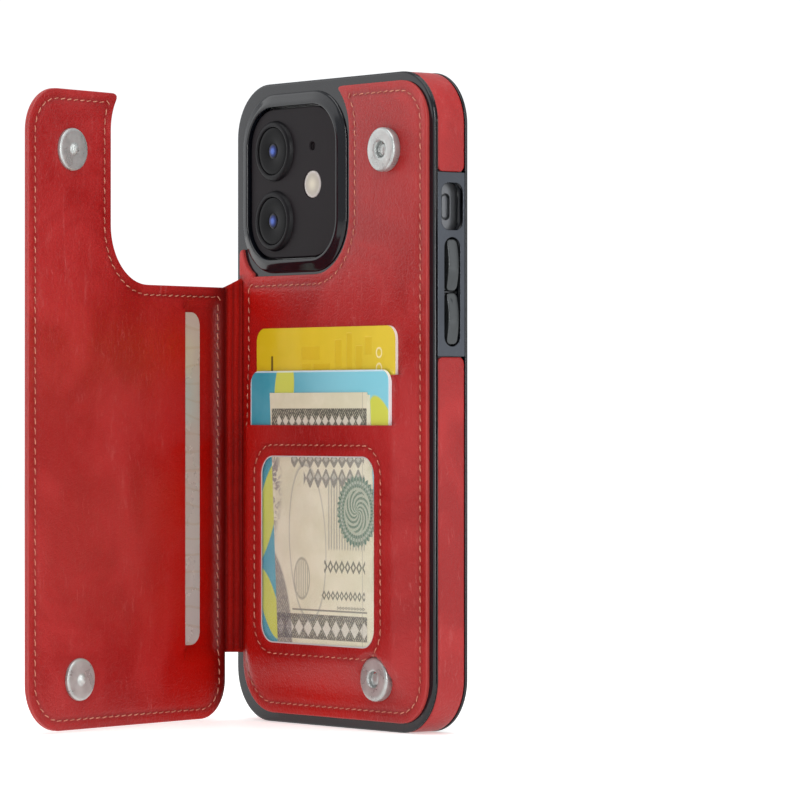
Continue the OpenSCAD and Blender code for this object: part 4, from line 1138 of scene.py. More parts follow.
def sideStrip(name, node, zVolume, zPower, upper):
    outline = evenLoop(faceLoops("shell_tray", 0)[0], 0.25)
    low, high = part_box(node)
    y0, y1 = low.y, high.y
    n = len(outline)
    out = -inwards(outline)
    inUpper = np.array([(z > (zVolume if x > 0 else zPower)) == upper for x, z in outline])
    starts = [i for i in range(n) if inUpper[i] and not inUpper[i - 1]]
    i = starts[0]
    run = []
    while inUpper[i % n] and len(run) < n:
        run.append(i % n)
        i += 1
    line = outline[run]
    normal = out[run]
    line[0, 1] = line[-1, 1] = 0
    ends = (zVolume, zPower) if upper else (zPower, zVolume)
    line[0, 1], line[-1, 1] = ends
    along = np.concatenate([[0], np.cumsum(np.linalg.norm(np.diff(line, axis=0), axis=1))])
    total = along[-1]
    near = np.array([0, 0.04, 0.12, 0.25, 0.45, 0.75, 1.1, 1.6])
    s = np.concatenate([near, np.linspace(2.4, total - 2.4, int(total / strip["step"])), total - near[::-1]])
    px, pz = np.interp(s, along, line[:, 0]), np.interp(s, along, line[:, 1])
    nx, nz = np.interp(s, along, normal[:, 0]), np.interp(s, along, normal[:, 1])
    across = np.array([0, 0.02, 0.05, 0.09, 0.16, 0.28, 0.5, 0.72, 0.84, 0.91, 0.95, 0.98, 1.0])
    width = (y1 - y0) / mm
    bm = bmesh.new()
    edgeSheenLayer = bm.verts.layers.float.new("edge")
    bm.verts.layers.float.new("seam")
    grid = []
    for k in range(len(s)):
        e = min(s[k], total - s[k])
        r = strip["end"]
        shrink = r - math.sqrt(max(r * r - (r - min(e, r)) ** 2, 0))
        row = []
        for t in across:
            a = min(t, 1 - t) * (width - 2 * shrink)
            y = y0 / mm + shrink + t * (width - 2 * shrink)
            crown = roundOver(np.array(min(a, e)), strip["edge"])
            drop = strip["floor"] - strip["top"]
            fall = strip["top"] + 0.05 * (2 * t - 1) ** 2 + float(crown) / strip["edge"] * drop
            v = bm.verts.new(((px[k] - nx[k] * fall) * mm, y * mm, (pz[k] - nz[k] * fall) * mm))
            # a painted highlight along the strip's rounded edges
            v[edgeSheenLayer] = 0.5 * float(crown) / strip["edge"]
            row.append(v)
        grid.append(row)
    for a, b in zip(grid[:-1], grid[1:]):
        for m in range(len(across) - 1):
            bm.faces.new((a[m], b[m], b[m + 1], a[m + 1]))
    bmesh.ops.remove_doubles(bm, verts=bm.verts, dist=1e-6)
    bmesh.ops.recalc_face_normals(bm, faces=bm.faces)
    centre = Vector((0, (y0 + y1) / 2, (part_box("shell_tray")[1].z) / 2))
    if sum((f.calc_center_median() - centre).dot(f.normal) * f.calc_area() for f in bm.faces) < 0:
        bmesh.ops.reverse_faces(bm, faces=bm.faces)
    return meshObject(name, bm)


volumeFrame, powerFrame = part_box("volume_side_frame"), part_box("power_side_frame")
upperStrip = sideStrip("upperStrip", "upper_side_leather", volumeFrame[1].z / mm + 0.05,
                       powerFrame[1].z / mm + 0.05, True)
lowerStrip = sideStrip("lowerStrip", "lower_side_leather", volumeFrame[0].z / mm - 0.05,
                       powerFrame[0].z / mm - 0.05, False)


def cutOpenings(obj, boxes):
    # pill-shaped openings through the bottom, open at their inner end
    for low, high in boxes:
        bm = bmesh.new()
        r = (high[1] - low[1]) / 2
        ring = [(high[0] - r + r * math.cos(a), low[1] + r + r * math.sin(a))
                for a in np.linspace(-math.pi / 2, math.pi / 2, 17)]
        ring += [(low[0] + r + r * math.cos(a), low[1] + r + r * math.sin(a))
                 for a in np.linspace(math.pi / 2, math.pi * 1.5, 17)]
        base = [bm.verts.new((x, y, low[2])) for x, y in ring]
        top = [bm.verts.new((x, y, high[2])) for x, y in ring]
        bm.faces.new(base[::-1])
        bm.faces.new(top)
        for i in range(len(ring)):
            j = (i + 1) % len(ring)
            bm.faces.new((base[i], base[j], top[j], top[i]))
        cutter = meshObject("cutter", bm, smooth=False)
        modifier = obj.modifiers.new("cut", "BOOLEAN")
        modifier.operation, modifier.object, modifier.solver = "DIFFERENCE", cutter, "EXACT"
        result = bpy.data.meshes.new_from_object(obj.evaluated_get(bpy.context.evaluated_depsgraph_get()))
        obj.modifiers.clear()
        bm = bmesh.new()
        bm.from_mesh(result)
        caps = [f for f in bm.faces if all(abs(v.co.z - high[2]) < 1e-6 for v in f.verts)]
        bmesh.ops.delete(bm, geom=caps, context="FACES")
        bm.to_mesh(result)
        bm.free()
        obj.data = result
        bpy.data.objects.remove(cutter)


portMiddle = (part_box("volume_up_key")[0].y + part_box("volume_up_key")[1].y) / 2
# the length and depth of each opening, and the wall between two
openings = {"port": (13.0, 5.4), "speaker": (9.0, 2.4), "gap": 3.5}


def bottomBox(middle, size):
    # a box through the bottom wall, across the strip
    half = (size[0] / 2 * mm, size[1] / 2 * mm)
    return ((middle - half[0], portMiddle - half[1], -1 * mm),
            (middle + half[0], portMiddle + half[1], 0.6 * mm))


speakerAt = (openings["port"][0] / 2 + openings["gap"] + openings["speaker"][0] / 2) * mm
cutOpenings(lowerStrip, [bottomBox(0, openings["port"])]
            + [bottomBox(x, openings["speaker"]) for x in (-speakerAt, speakerAt)])
finishPiece(upperStrip, "case", sideLeather, "red_leather", "upper_side_leather")
finishPiece(lowerStrip, "case", sideLeather, "red_leather", "lower_side_leather")
print("strips made")


# Hard pieces with softened edges
def softened(name, body, material, slotName, nodes, width, segments=3, angle=30.0, merged=True):
    bm = bmesh.new()
    for node in nodes:
        part = cadCopy(node)
        mesh = bpy.data.meshes.new("part")
        part.to_mesh(mesh)
        part.free()
        bm.from_mesh(mesh)
        bpy.data.meshes.remove(mesh)
    if merged:
        bmesh.ops.dissolve_limit(bm, angle_limit=math.radians(1.0), verts=bm.verts, edges=bm.edges)
    obj = meshObject(name, bm)
    bevel = obj.modifiers.new("soften", "BEVEL")
    bevel.width, bevel.segments, bevel.limit_method = width * mm, segments, "ANGLE"
    bevel.angle_limit = math.radians(angle)
    bevel.use_clamp_overlap = False
    even = obj.modifiers.new("even", "WEIGHTED_NORMAL")
    even.weight, even.keep_sharp = 100, True
    result = bpy.data.meshes.new_from_object(obj.evaluated_get(bpy.context.evaluated_depsgraph_get()))
    obj.modifiers.clear()
    obj.data = result
    return finishPiece(obj, body, material, slotName, *nodes)


softened("shell", "case", blackGloss, "shell_plastic", ["shell_tray"], 0.6, merged=False)
softened("frontRim", "case", blackGloss, "shell_plastic", ["front_rim"], 0.25)
softened("volumeFrame", "case", plated, "plated_plastic", ["volume_side_frame"], 0.2)
softened("powerFrame", "case", plated, "plated_plastic", ["power_side_frame"], 0.2)
softened("phoneBand", "phone", phoneMetal, "phone_metal", ["phone_band"], 0.12)
softened("plateau", "phone", plateauGlass, "plateau_glass", ["camera_plateau"], 0.3)
softened("ringerPill", "ringer", phoneMetal, "phone_metal", ["ringer_switch"], 0.15)
print("hard pieces made")


def roundedLoop(low, high, r, count=14, side=6):
    # an anticlockwise rounded rectangle with the same number of points at any size
    points = []
    for cx, cz, start in ((high[0] - r, low[1] + r, -90), (high[0] - r, high[1] - r, 0),
                          (low[0] + r, high[1] - r, 90), (low[0] + r, low[1] + r, 180)):
        for k in range(count + 1):
            a = math.radians(start + 90 * k / count)
            points.append((cx + r * math.cos(a), cz + r * math.sin(a)))
    loop = []
    for i, p in enumerate(points):
        loop.append(p)
        if i % (count + 1) == count:
            q = points[(i + 1) % len(points)]
            loop += [(p[0] + (q[0] - p[0]) * k / side, p[1] + (q[1] - p[1]) * k / side)
                     for k in range(1, side)]
    return np.array(loop)


def ringLoft(name, low, high, r, profile, place, closed=False):
    # rounded rectangles drawn in by each inset of the profile, placed by place(a, b, level)
    bm = bmesh.new()
    bm.verts.layers.float.new("edge")
    rings = []
    for inset, level in profile:
        loop = roundedLoop(np.array(low) + inset, np.array(high) - inset, max(r - inset, 0.05))
        rings.append([bm.verts.new(place(a, b, level)) for a, b in loop])
    for a, b in zip(rings[:-1], rings[1:]):
        for i in range(len(a)):
            j = (i + 1) % len(a)
            bm.faces.new((a[i], a[j], b[j], b[i]))
    if closed:
        bm.faces.new(rings[-1])
    bmesh.ops.recalc_face_normals(bm, faces=bm.faces)
    return meshObject(name, bm)


def backPlace(a, b, level):
    return (a * mm, backY - level * mm, b * mm)


def faceOut(obj, direction):
    bm = bmesh.new()
    bm.from_mesh(obj.data)
    if sum(f.normal.dot(Vector(direction)) * f.calc_area() for f in bm.faces) < 0:
        bmesh.ops.reverse_faces(bm, faces=bm.faces)
    bm.to_mesh(obj.data)
    bm.free()


# The camera surround: a sloped wall up to a rounded ridge, then straight down to the camera
surroundLow, surroundHigh = (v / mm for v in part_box("camera_surround"))
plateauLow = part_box("camera_plateau")[0] / mm
footRadius = 9 + (plateauLow.x - surroundLow.x)
rise = depthOf(surroundLow.y * mm)
surroundProfile = [(0.0, 0.0), (0.02, 0.16), (0.12, 0.34), (0.35, 0.5), (0.8, 0.66), (1.35, 0.86),
                   (1.9, 1.08), (2.3, 1.22), (2.6, 1.29), (2.8, 1.3),
                   (2.98, 1.27), (3.1, 1.18), (3.17, 1.02), (3.2, 0.8), (3.2, 0.3), (3.2, -1.2)]
surround = ringLoft("surround", (surroundLow.x, surroundLow.z), (surroundHigh.x, surroundHigh.z), footRadius,
                    [(i, l * rise / 1.3) for i, l in surroundProfile], backPlace)
faceOut(surround, (0, -1, 0))
finishPiece(surround, "case", blackGloss, "shell_plastic", "camera_surround")


def lathe(name, profile, centre, outward, up=Vector((0, 0, 1)), segments=64):
    # a turned shape: profile is (radius, height) in mm from the middle of the top round to the foot
    bm = bmesh.new()
    bm.verts.layers.float.new("edge")
    outward = Vector(outward).normalized()
    across = outward.cross(up).normalized()
    above = across.cross(outward)
    rings = []
    for r, h in profile:
        if r < 1e-6:
            rings.append([bm.verts.new(centre + outward * h * mm)])
        else:
            rings.append([bm.verts.new(centre + outward * h * mm
                                       + (across * math.cos(a) + above * math.sin(a)) * r * mm)
                          for a in (2 * math.pi * k / segments for k in range(segments))])
    for a, b in zip(rings[:-1], rings[1:]):
        for k in range(segments):
            m = (k + 1) % segments
            if len(a) == 1:
                bm.faces.new((a[0], b[k], b[m]))
            elif len(b) == 1:
                bm.faces.new((a[k], b[0], a[m]))
            else:
                bm.faces.new((a[k], b[k], b[m], a[m]))
    bmesh.ops.recalc_face_normals(bm, faces=bm.faces)
    return meshObject(name, bm)


def middleOf(node):
    low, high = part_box(node)
    return (low + high) / 2


socketProfile = [(0, 1.4), (0.9, 1.37), (1.25, 1.27), (1.42, 1.12), (1.45, 0.9), (1.5, 0.7), (1.85, 0.7),
                 (1.88, 1.4), (1.92, 1.85), (2.05, 2.02), (2.3, 2.08),
                 (2.9, 2.09), (4.0, 2.09), (4.5, 2.08), (4.8, 2.0), (5.0, 1.82), (5.09, 1.55), (5.1, 1.1),
                 (5.1, 0.5), (5.04, 0.2), (4.95, -0.02)]
for part in ("upper", "lower"):
    node = part + "_snap_socket"
    c = middleOf(node)
    socket = lathe(part + "Socket", socketProfile, Vector((c.x, backY - baseDepth * mm, c.z)), (0, -1, 0))
    finishPiece(socket, "case", snapMetal, "snap_metal", node, part + "_ring_magnet")

plateProfile = [(0, 1.66), (0.35, 1.64), (0.7, 1.54), (0.95, 1.36), (1.08, 1.12), (1.16, 0.95),
                (1.35, 0.86), (1.7, 0.85), (3.2, 0.87), (4.2, 0.88), (4.55, 0.86),
                (4.75, 0.78), (4.87, 0.62), (4.9, 0.45), (4.9, 0.1), (4.86, -0.02)]
for part in ("upper", "lower"):
    node = part + "_snap_plate"
    bm = cadCopy(node, closedFlap)
    xs = [v.co.x for v in bm.verts]
    zs = [v.co.z for v in bm.verts]
    bm.free()
    centre = Vector(((min(xs) + max(xs)) / 2, backY - innerDepth * mm, (min(zs) + max(zs)) / 2))
    plate = lathe(part + "Plate", plateProfile, openFlap @ centre, openFlap.to_3x3() @ Vector((0, 1, 0)))
    finishPiece(plate, "flap", snapMetal, "snap_metal", node)
print("snaps made")

# Lenses and flash
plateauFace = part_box("camera_plateau")[0].y
collarBm = cadCopy("lens_collars")
collarZ = np.array([v.co.z for v in collarBm.verts])
collarX = np.array([v.co.x for v in collarBm.verts])
collarBm.free()
collarTop = depthOf(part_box("lens_collars")[0].y) - depthOf(plateauFace)
split = (collarZ.min() + collarZ.max()) / 2
lensCentres = [Vector(((collarX.min() + collarX.max()) / 2, plateauFace, (g.min() + g.max()) / 2))
               for g in (collarZ[collarZ > split], collarZ[collarZ < split])]
collarR = (collarX.max() - collarX.min()) / 2 / mm
for k, c in enumerate(lensCentres):
    top = collarTop
    collar = lathe(f"lensCollar{k + 1}",
                   [(5.72, top - 0.3), (5.76, top - 0.1), (5.9, top), (6.3, top - 0.02), (6.7, top - 0.16),
                    (7.0, top * 0.55), (collarR, 0.06), (collarR + 0.05, -0.02)], c, (0, -1, 0))
    ring = lathe(f"lensRing{k + 1}", [(1.9, 0.62), (2.4, 0.7), (3.4, 0.8), (4.6, 0.86), (5.4, 0.84),
                                      (5.66, 0.76), (5.72, 0.6), (5.72, -0.02)], c, (0, -1, 0))
    glass = lathe(f"lensGlass{k + 1}", [(0, 0.88), (0.5, 0.87), (1.0, 0.82), (1.5, 0.73), (1.92, 0.6),
                                        (1.95, 0.5)], c, (0, -1, 0))
    finishPiece(collar, "phone", ringSatin, "lens_ring", *(["lens_collars"] if k == 0 else []))
    finishPiece(ring, "phone", lensBlack, "phone_glass")
    finishPiece(glass, "phone", lensBlack, "phone_glass", *(["lens_glasses"] if k == 0 else []))

lensBlue, tree, shader, where = newMaterial("lensBlue", {"Roughness": 0.15, "Specular IOR Level": 0.15})
reach = None
for c in lensCentres:
    n = addNode(tree, "ShaderNodeVectorMath", operation="DISTANCE")
    wire(tree, where, n.inputs[0])
    n.inputs[1].default_value = c
    reach = n.outputs["Value"] if reach is None else mathNode(tree, "MINIMUM", reach, n.outputs["Value"])
# painted reflection: a blue glint of the coated elements in the middle of each lens, fading into black glass
blue = mixColor(tree, mapRange(tree, reach, 0.0009, 0.0013), (0.07, 0.13, 0.46), (0.012, 0.025, 0.14))
blue = mixColor(tree, mapRange(tree, reach, 0.0012, 0.0018), blue, (0.002, 0.002, 0.004))
wire(tree, blue, shader.inputs["Base Color"])
for k in (1, 2):
    bpy.data.objects[f"lensGlass{k}"].data.materials[0] = lensBlue

flashCentre = middleOf("camera_flash")
flashR = (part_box("camera_flash")[1].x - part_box("camera_flash")[0].x) / 2 / mm
flashCream, tree, shader, where = newMaterial("flashCream",
                                              {"Coat Weight": 0.6, "Coat Roughness": 0.05, "Roughness": 0.3})
offset = addNode(tree, "ShaderNodeVectorMath", operation="SUBTRACT")
offset.inputs[1].default_value = flashCentre
wire(tree, where, offset.inputs[0])
length = addNode(tree, "ShaderNodeVectorMath", operation="LENGTH")
wire(tree, offset.outputs[0], length.inputs[0])
flashColor = mixColor(tree, mapRange(tree, length.outputs["Value"], 0.0002, 0.0022), (0.54, 0.49, 0.37),
                      (0.34, 0.30, 0.24))
flashColor = mixColor(tree, mapRange(tree, length.outputs["Value"], 0.0023, 0.0031), flashColor,
                      (0.42, 0.38, 0.36))
wire(tree, flashColor, shader.inputs["Base Color"])
flash = lathe("flash", [(0, 0.02), (1.5, 0.02), (flashR * 0.75, 0.0), (flashR * 0.93, -0.03),
                        (flashR, -0.12), (flashR, -0.4)],
                        Vector((flashCentre.x, plateauFace, flashCentre.z)), (0, -1, 0))
finishPiece(flash, "phone", flashCream, "flash", "camera_flash")
print("camera made")


# Keys with crowned, wavy tops
def keyPiece(name, body, node, sign, lows):
    # a flange that fills the slot below a narrow ribbon whose top swells in the middle
    low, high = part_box(node)
    y0, y1, z0, z1 = low.y / mm, high.y / mm, low.z / mm, high.z / mm
    outX = (high.x if sign > 0 else -low.x) / mm
    faceX = outX - key["crown"]
    inX = (low.x if sign > 0 else -high.x) / mm
    w = (y1 - y0) / 2
    thin = w - key["ribbon"] / 2

    def place(a, b, level):
        t = (b - z0) / (z1 - z0)
        if level <= 0:
            return (sign * (faceX + level) * mm, a * mm, b * mm)
        half = (z1 - z0) / 2
        b = z0 + half + (b - z0 - half) * (half - 0.06) / (half - thin)
        swell = math.sin(math.pi * min(max(t, 0), 1)) ** 1.3
        start = lows[0] * (1 - t) ** 2 + lows[1] * t ** 2
        top = start + (key["crown"] - start) * swell
        return (sign * (faceX - key["sunk"] + (top + key["sunk"]) * level) * mm, a * mm, b * mm)

    profile = [(0.0, inX - faceX), (0.0, -key["sunk"] - 0.1), (0.06, -key["sunk"]),
               (thin - 0.05, -key["sunk"]), (thin, 0.02), (thin + 0.01, 0.75), (thin + 0.06, 0.9),
               (thin + 0.2, 0.975), (thin + 0.45, 1.0), (w - 0.1, 1.0)]
    made = ringLoft(name, (y0, z0), (y1, z1), 1.5, profile, place, closed=True)
    bm = bmesh.new()
    bm.from_mesh(made.data)
    bmesh.ops.triangulate(bm, faces=[f for f in bm.faces if len(f.verts) > 4])
    bm.to_mesh(made.data)
    bm.free()
    made.data.shade_smooth()
    faceOut(made, (sign, 0, 0))
    return finishPiece(made, body, keyMetal, "plated_plastic", node)


key = {"crown": 0.55, "ribbon": 3.0, "sunk": 1.2}
keyPiece("volumeUpKey", "volume_up", "volume_up_key", 1, (-0.55, -0.4))
keyPiece("volumeDownKey", "volume_down", "volume_down_key", 1, (-0.4, -0.55))
keyPiece("powerKey", "power", "power_key", -1, (-0.3, -0.3))
print("keys made")

# Cards and the note
for node, material in (("phone_back_glass", backGlass), ("phone_core", corePlain),
                       ("pocket_divider", liningCloth), ("socket_washers", washerSteel),
                       ("plate_washers", washerSteel)):
    obj = frame["nodes"][node]
    obj.data.materials.clear()
    obj.data.materials.append(material)


def splitPlace(tree, where):
    n = addNode(tree, "ShaderNodeSeparateXYZ")
    wire(tree, where, n.inputs[0])
    return n.outputs[0], n.outputs[2]


def inBand(tree, value, low, high, blur=0.00012):
    a = mapRange(tree, value, low - blur, low + blur)
    b = mapRange(tree, value, high - blur, high + blur, 1.0, 0.0)
    return mathNode(tree, "MULTIPLY", a, b)


def inBox(tree, x, z, x0, x1, z0, z1, blur=0.00012):
    return mathNode(tree, "MULTIPLY", inBand(tree, x, x0, x1, blur), inBand(tree, z, z0, z1, blur))


def inOval(tree, where, centre, radii, degrees, blur=0.04):
    n = addNode(tree, "ShaderNodeMapping", vector_type="TEXTURE")
    n.inputs["Location"].default_value = (centre[0], 0, centre[1])
    n.inputs["Rotation"].default_value = (0, math.radians(degrees), 0)
    n.inputs["Scale"].default_value = (radii[0], 1000.0, radii[1])
    wire(tree, where, n.inputs["Vector"])
    l = addNode(tree, "ShaderNodeVectorMath", operation="LENGTH")
    wire(tree, n.outputs[0], l.inputs[0])
    return mapRange(tree, l.outputs["Value"], 1 - blur, 1 + blur, 1.0, 0.0), l.outputs["Value"]


def cardSides(tree, color, white):
    # the cut edges of a card are white
    n = addNode(tree, "ShaderNodeTexCoord")
    s = addNode(tree, "ShaderNodeSeparateXYZ")
    wire(tree, n.outputs["Normal"], s.inputs[0])
    facing = mapRange(tree, mathNode(tree, "ABSOLUTE", s.outputs[1]), 0.3, 0.7)
    return mixColor(tree, facing, white, color)


def yellowCard():
    m, tree, shader, where = newMaterial("yellowCard",
                                         {"Roughness": 0.3, "Coat Weight": 0.4, "Coat Roughness": 0.12})
    low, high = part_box("yellow_card")
    x, z = splitPlace(tree, where)
    top = high.z
    g = placeGroup(tree, smudge, where, {"Patch Scale": 55.0})
    color = mixColor(tree, mapRange(tree, x, low.x, high.x), (0.70, 0.53, 0.004), (0.70, 0.56, 0.05))
    color = mixColor(tree, mathNode(tree, "MULTIPLY", g.outputs["Mask"], 0.4), color, (0.86, 0.66, 0.05))
    raised = None
    for x0, x1, z0, z1 in ((0.018, 0.025, 0.0045, 0.0075), (0.018, 0.0215, 0.0085, 0.0105),
                           (0.0225, 0.029, 0.0085, 0.0105), (0.031, 0.0335, 0.003, 0.0095),
                           (0.0355, 0.0375, 0.0015, 0.0105), (0.039, 0.0415, 0.0045, 0.0105),
                           (0.0425, 0.045, 0.0025, 0.0065)):
        b = inBox(tree, x, z, low.x + x0, low.x + x1, top - z1, top - z0)
        raised = b if raised is None else mathNode(tree, "MAXIMUM", raised, b)
    color = mixColor(tree, mathNode(tree, "MULTIPLY", raised, 0.35), color, (0.62, 0.42, 0.01))
    dark = inBox(tree, x, z, low.x + 0.0058, low.x + 0.0066, top - 0.0105, top - 0.0066)
    color = mixColor(tree, mathNode(tree, "MULTIPLY", dark, 0.85), color, (0.05, 0.035, 0.01))
    dots = None
    for dz in (0.0062, 0.0098):
        oval, distance = inOval(tree, where, (high.x - 0.0062, top - dz), (0.0012, 0.0013), 0)
        ring = mathNode(tree, "MULTIPLY", oval, mapRange(tree, distance, 0.55, 0.75))
        dots = ring if dots is None else mathNode(tree, "MAXIMUM", dots, ring)
    color = mixColor(tree, mathNode(tree, "MULTIPLY", dots, 0.75), color, (0.92, 0.86, 0.5))
    wire(tree, cardSides(tree, color, (0.95, 0.93, 0.85)), shader.inputs["Base Color"])
    bumpInto(tree, shader, mathNode(tree, "ADD", raised, dots), 0.4, 0.0001)
    return m


def blueCard():
    m, tree, shader, where = newMaterial("blueCard",
                                         {"Roughness": 0.28, "Coat Weight": 0.4, "Coat Roughness": 0.1})
    low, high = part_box("blue_card")
    x, z = splitPlace(tree, where)
    g = placeGroup(tree, smudge, where, {"Patch Scale": 45.0})
    color = mixColor(tree, mapRange(tree, x, low.x, low.x + 0.04), (0.0, 0.30, 0.42), (0.22, 0.66, 0.78))
    color = mixColor(tree, mathNode(tree, "MULTIPLY", g.outputs["Mask"], 0.25), color, (0.26, 0.68, 0.80))
    leaf = None
    for cx, cz, rx, rz, turn in ((0.0135, 0.0045, 0.0038, 0.0085, 6),
                                 (0.0525, 0.0155, 0.0045, 0.0105, -28), (0.0065, 0.0335, 0.0036, 0.013, 20),
                                 (0.0075, 0.055, 0.003, 0.009, -25), (0.047, 0.052, 0.005, 0.012, 15)):
        oval, _ = inOval(tree, where, (low.x + cx, high.z - cz), (rx, rz), turn)
        leaf = oval if leaf is None else mathNode(tree, "MAXIMUM", leaf, oval)
    color = mixColor(tree, leaf, color, (0.62, 0.70, 0.10))
    # a painted highlight along the card's top and side edges
    frontEdgeHighlight = mathNode(tree, "SUBTRACT", 1.0,
                         inBox(tree, x, z, low.x + 0.0004, high.x - 0.0004, low.z, high.z - 0.0004, 0.0001))
    color = mixColor(tree, mathNode(tree, "MULTIPLY", frontEdgeHighlight, 0.7), color, (0.75, 0.88, 0.92))
    wire(tree, cardSides(tree, color, (0.97, 0.98, 0.98)), shader.inputs["Base Color"])
    bumpInto(tree, shader, g.outputs["Fine"], 0.1, 0.00002)
    return m


def paperNote():
    m, tree, shader, where = newMaterial("paperNote", {"Roughness": 0.75})
    low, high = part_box("banknote")
    x, z = splitPlace(tree, where)
    g = placeGroup(tree, smudge, where, {"Patch Scale": 90.0})
    paper = mixColor(tree, g.outputs["Mask"], (0.66, 0.655, 0.47), (0.76, 0.75, 0.58))
    ink, green = (0.055, 0.06, 0.05), (0.06, 0.16, 0.11)

    def lines(scale, turn, warpBy=0.0):
        place = addNode(tree, "ShaderNodeMapping")
        place.inputs["Rotation"].default_value = (0, math.radians(turn), 0)
        wire(tree, where, place.inputs["Vector"])
        w = addNode(tree, "ShaderNodeTexWave",
                    {"Scale": scale, "Distortion": warpBy, "Detail": 1.0, "Detail Scale": 1.0},
                    wave_type="BANDS", bands_direction="X")
        wire(tree, place.outputs[0], w.inputs["Vector"])
        return mapRange(tree, w.outputs["Fac"], 0.35, 0.65)

    def both(a, b):
        return mathNode(tree, "MULTIPLY", a, b)

    def layer(color, mask, tone, amount):
        return mixColor(tree, both(mask, amount), color, tone)

    def beads(at, height, period, size):
        # a row of pale lozenges with a dark middle line
        t = mathNode(tree, "ABSOLUTE", mathNode(tree, "SUBTRACT",
                                                mathNode(tree, "FRACT",
                                                         mathNode(tree, "DIVIDE", x, period)), 0.5))
        u = mathNode(tree, "DIVIDE", mathNode(tree, "ABSOLUTE", mathNode(tree, "SUBTRACT", z, at)), height)
        return mapRange(tree, mathNode(tree, "ADD", mathNode(tree, "MULTIPLY", t, 2.0), u), size - 0.1,
                        size + 0.1, 1.0, 0.0)

    fleck = addNode(tree, "ShaderNodeTexNoise", {"Scale": 2100.0, "Detail": 2.0, "Roughness": 0.7})
    wire(tree, where, fleck.inputs["Vector"])
    engraved = mapRange(tree, fleck.outputs["Fac"], 0.44, 0.56)
    hatch = mathNode(tree, "MAXIMUM", lines(520.0, 38), both(engraved, 0.8))
    ground = mapRange(tree, hatch, 0, 1, 0.45, 1.0)
    color = paper
    # top band with pale lozenges, standing above the slit
    topZ = high.z - 0.0066
    color = layer(color, both(inBox(tree, x, z, low.x + 0.0008, high.x - 0.0002, high.z - 0.0105,
                                    high.z - 0.0037), ground), ink, 0.95)
    topBox = inBox(tree, x, z, low.x + 0.003, high.x - 0.0016, topZ - 0.0014, topZ + 0.0014)
    color = layer(color, both(topBox, beads(topZ, 0.0016, 0.0026, 0.85)), (0.66, 0.66, 0.55), 0.95)
    # bottom band
    lowZ = low.z + 0.0050
    color = layer(color, both(inBox(tree, x, z, low.x, high.x, low.z + 0.0024, low.z + 0.0082), ground),
                  ink, 0.9)
    color = layer(color, both(inBox(tree, x, z, low.x + 0.001, high.x, lowZ - 0.0021, lowZ + 0.0019),
                              beads(lowZ, 0.0022, 0.0036, 0.9)), (0.64, 0.64, 0.54), 0.95)
    color = layer(color, inBox(tree, x, z, low.x + 0.009, high.x, low.z + 0.0090, low.z + 0.0094),
                  (0.12, 0.13, 0.11), 0.8)
    # two rows of shaded ornament at the top of the window
    for z0, tall, x0 in ((high.z - 0.0158, 0.0017, 0.0085), (high.z - 0.0200, 0.0022, 0.0135)):
        box = inBox(tree, x, z, low.x + x0, high.x - 0.0012, z0 - tall, z0 + tall)
        color = layer(color, both(box, beads(z0, tall * 1.1, 0.0031, 1.05)), (0.15, 0.16, 0.14), 0.8)
        color = layer(color, both(box, beads(z0 + 0.0003, tall * 0.8, 0.0031, 0.55)), (0.55, 0.56, 0.46),
                      0.85)
    # upright bars and a toothed rosette over them
    bars = both(inBox(tree, x, z, high.x - 0.0150, high.x - 0.0005, low.z + 0.0235, low.z + 0.0405,
                      0.0004), lines(300.0, 0, 1.2))
    color = layer(color, bars, (0.24, 0.26, 0.23), 0.6)
    cx, cz = high.x - 0.0038, low.z + 0.0325
    dx, dz = mathNode(tree, "SUBTRACT", x, cx), mathNode(tree, "SUBTRACT", z, cz)
    angle = mathNode(tree, "ARCTAN2", dz, dx)
    flat = mathNode(tree, "MULTIPLY", dz, 0.92)
    far = mathNode(tree, "SQRT", mathNode(tree, "ADD", both(dx, dx), both(flat, flat)))
    teeth = mathNode(tree, "MULTIPLY", mathNode(tree, "SINE", mathNode(tree, "MULTIPLY", angle, 34.0)),
                     0.0003)
    whole = mapRange(tree, mathNode(tree, "ADD", far, teeth), 0.0073, 0.0076, 1.0, 0.0)
    color = layer(color, whole, (0.40, 0.47, 0.36), 0.9)
    rim = both(whole, mapRange(tree, far, 0.0050, 0.0052))
    dash = mapRange(tree, mathNode(tree, "SINE", mathNode(tree, "MULTIPLY", angle, 42.0)), -0.2, 0.2)
    color = layer(color, both(rim, mapRange(tree, dash, 0, 1, 0.55, 1.0)), green, 0.9)
    color = layer(color, both(both(rim, inBand(tree, far, 0.0058, 0.0065)), dash), (0.5, 0.56, 0.46), 0.75)
    inner = mapRange(tree, far, 0.0044, 0.0046, 1.0, 0.0)
    web = mathNode(tree, "SINE", mathNode(tree, "ADD", mathNode(tree, "MULTIPLY", angle, 9.0),
                                          mathNode(tree, "MULTIPLY", far, 5200.0)))
    color = layer(color, both(inner, mapRange(tree, web, -0.1, 0.3)), green, 0.75)
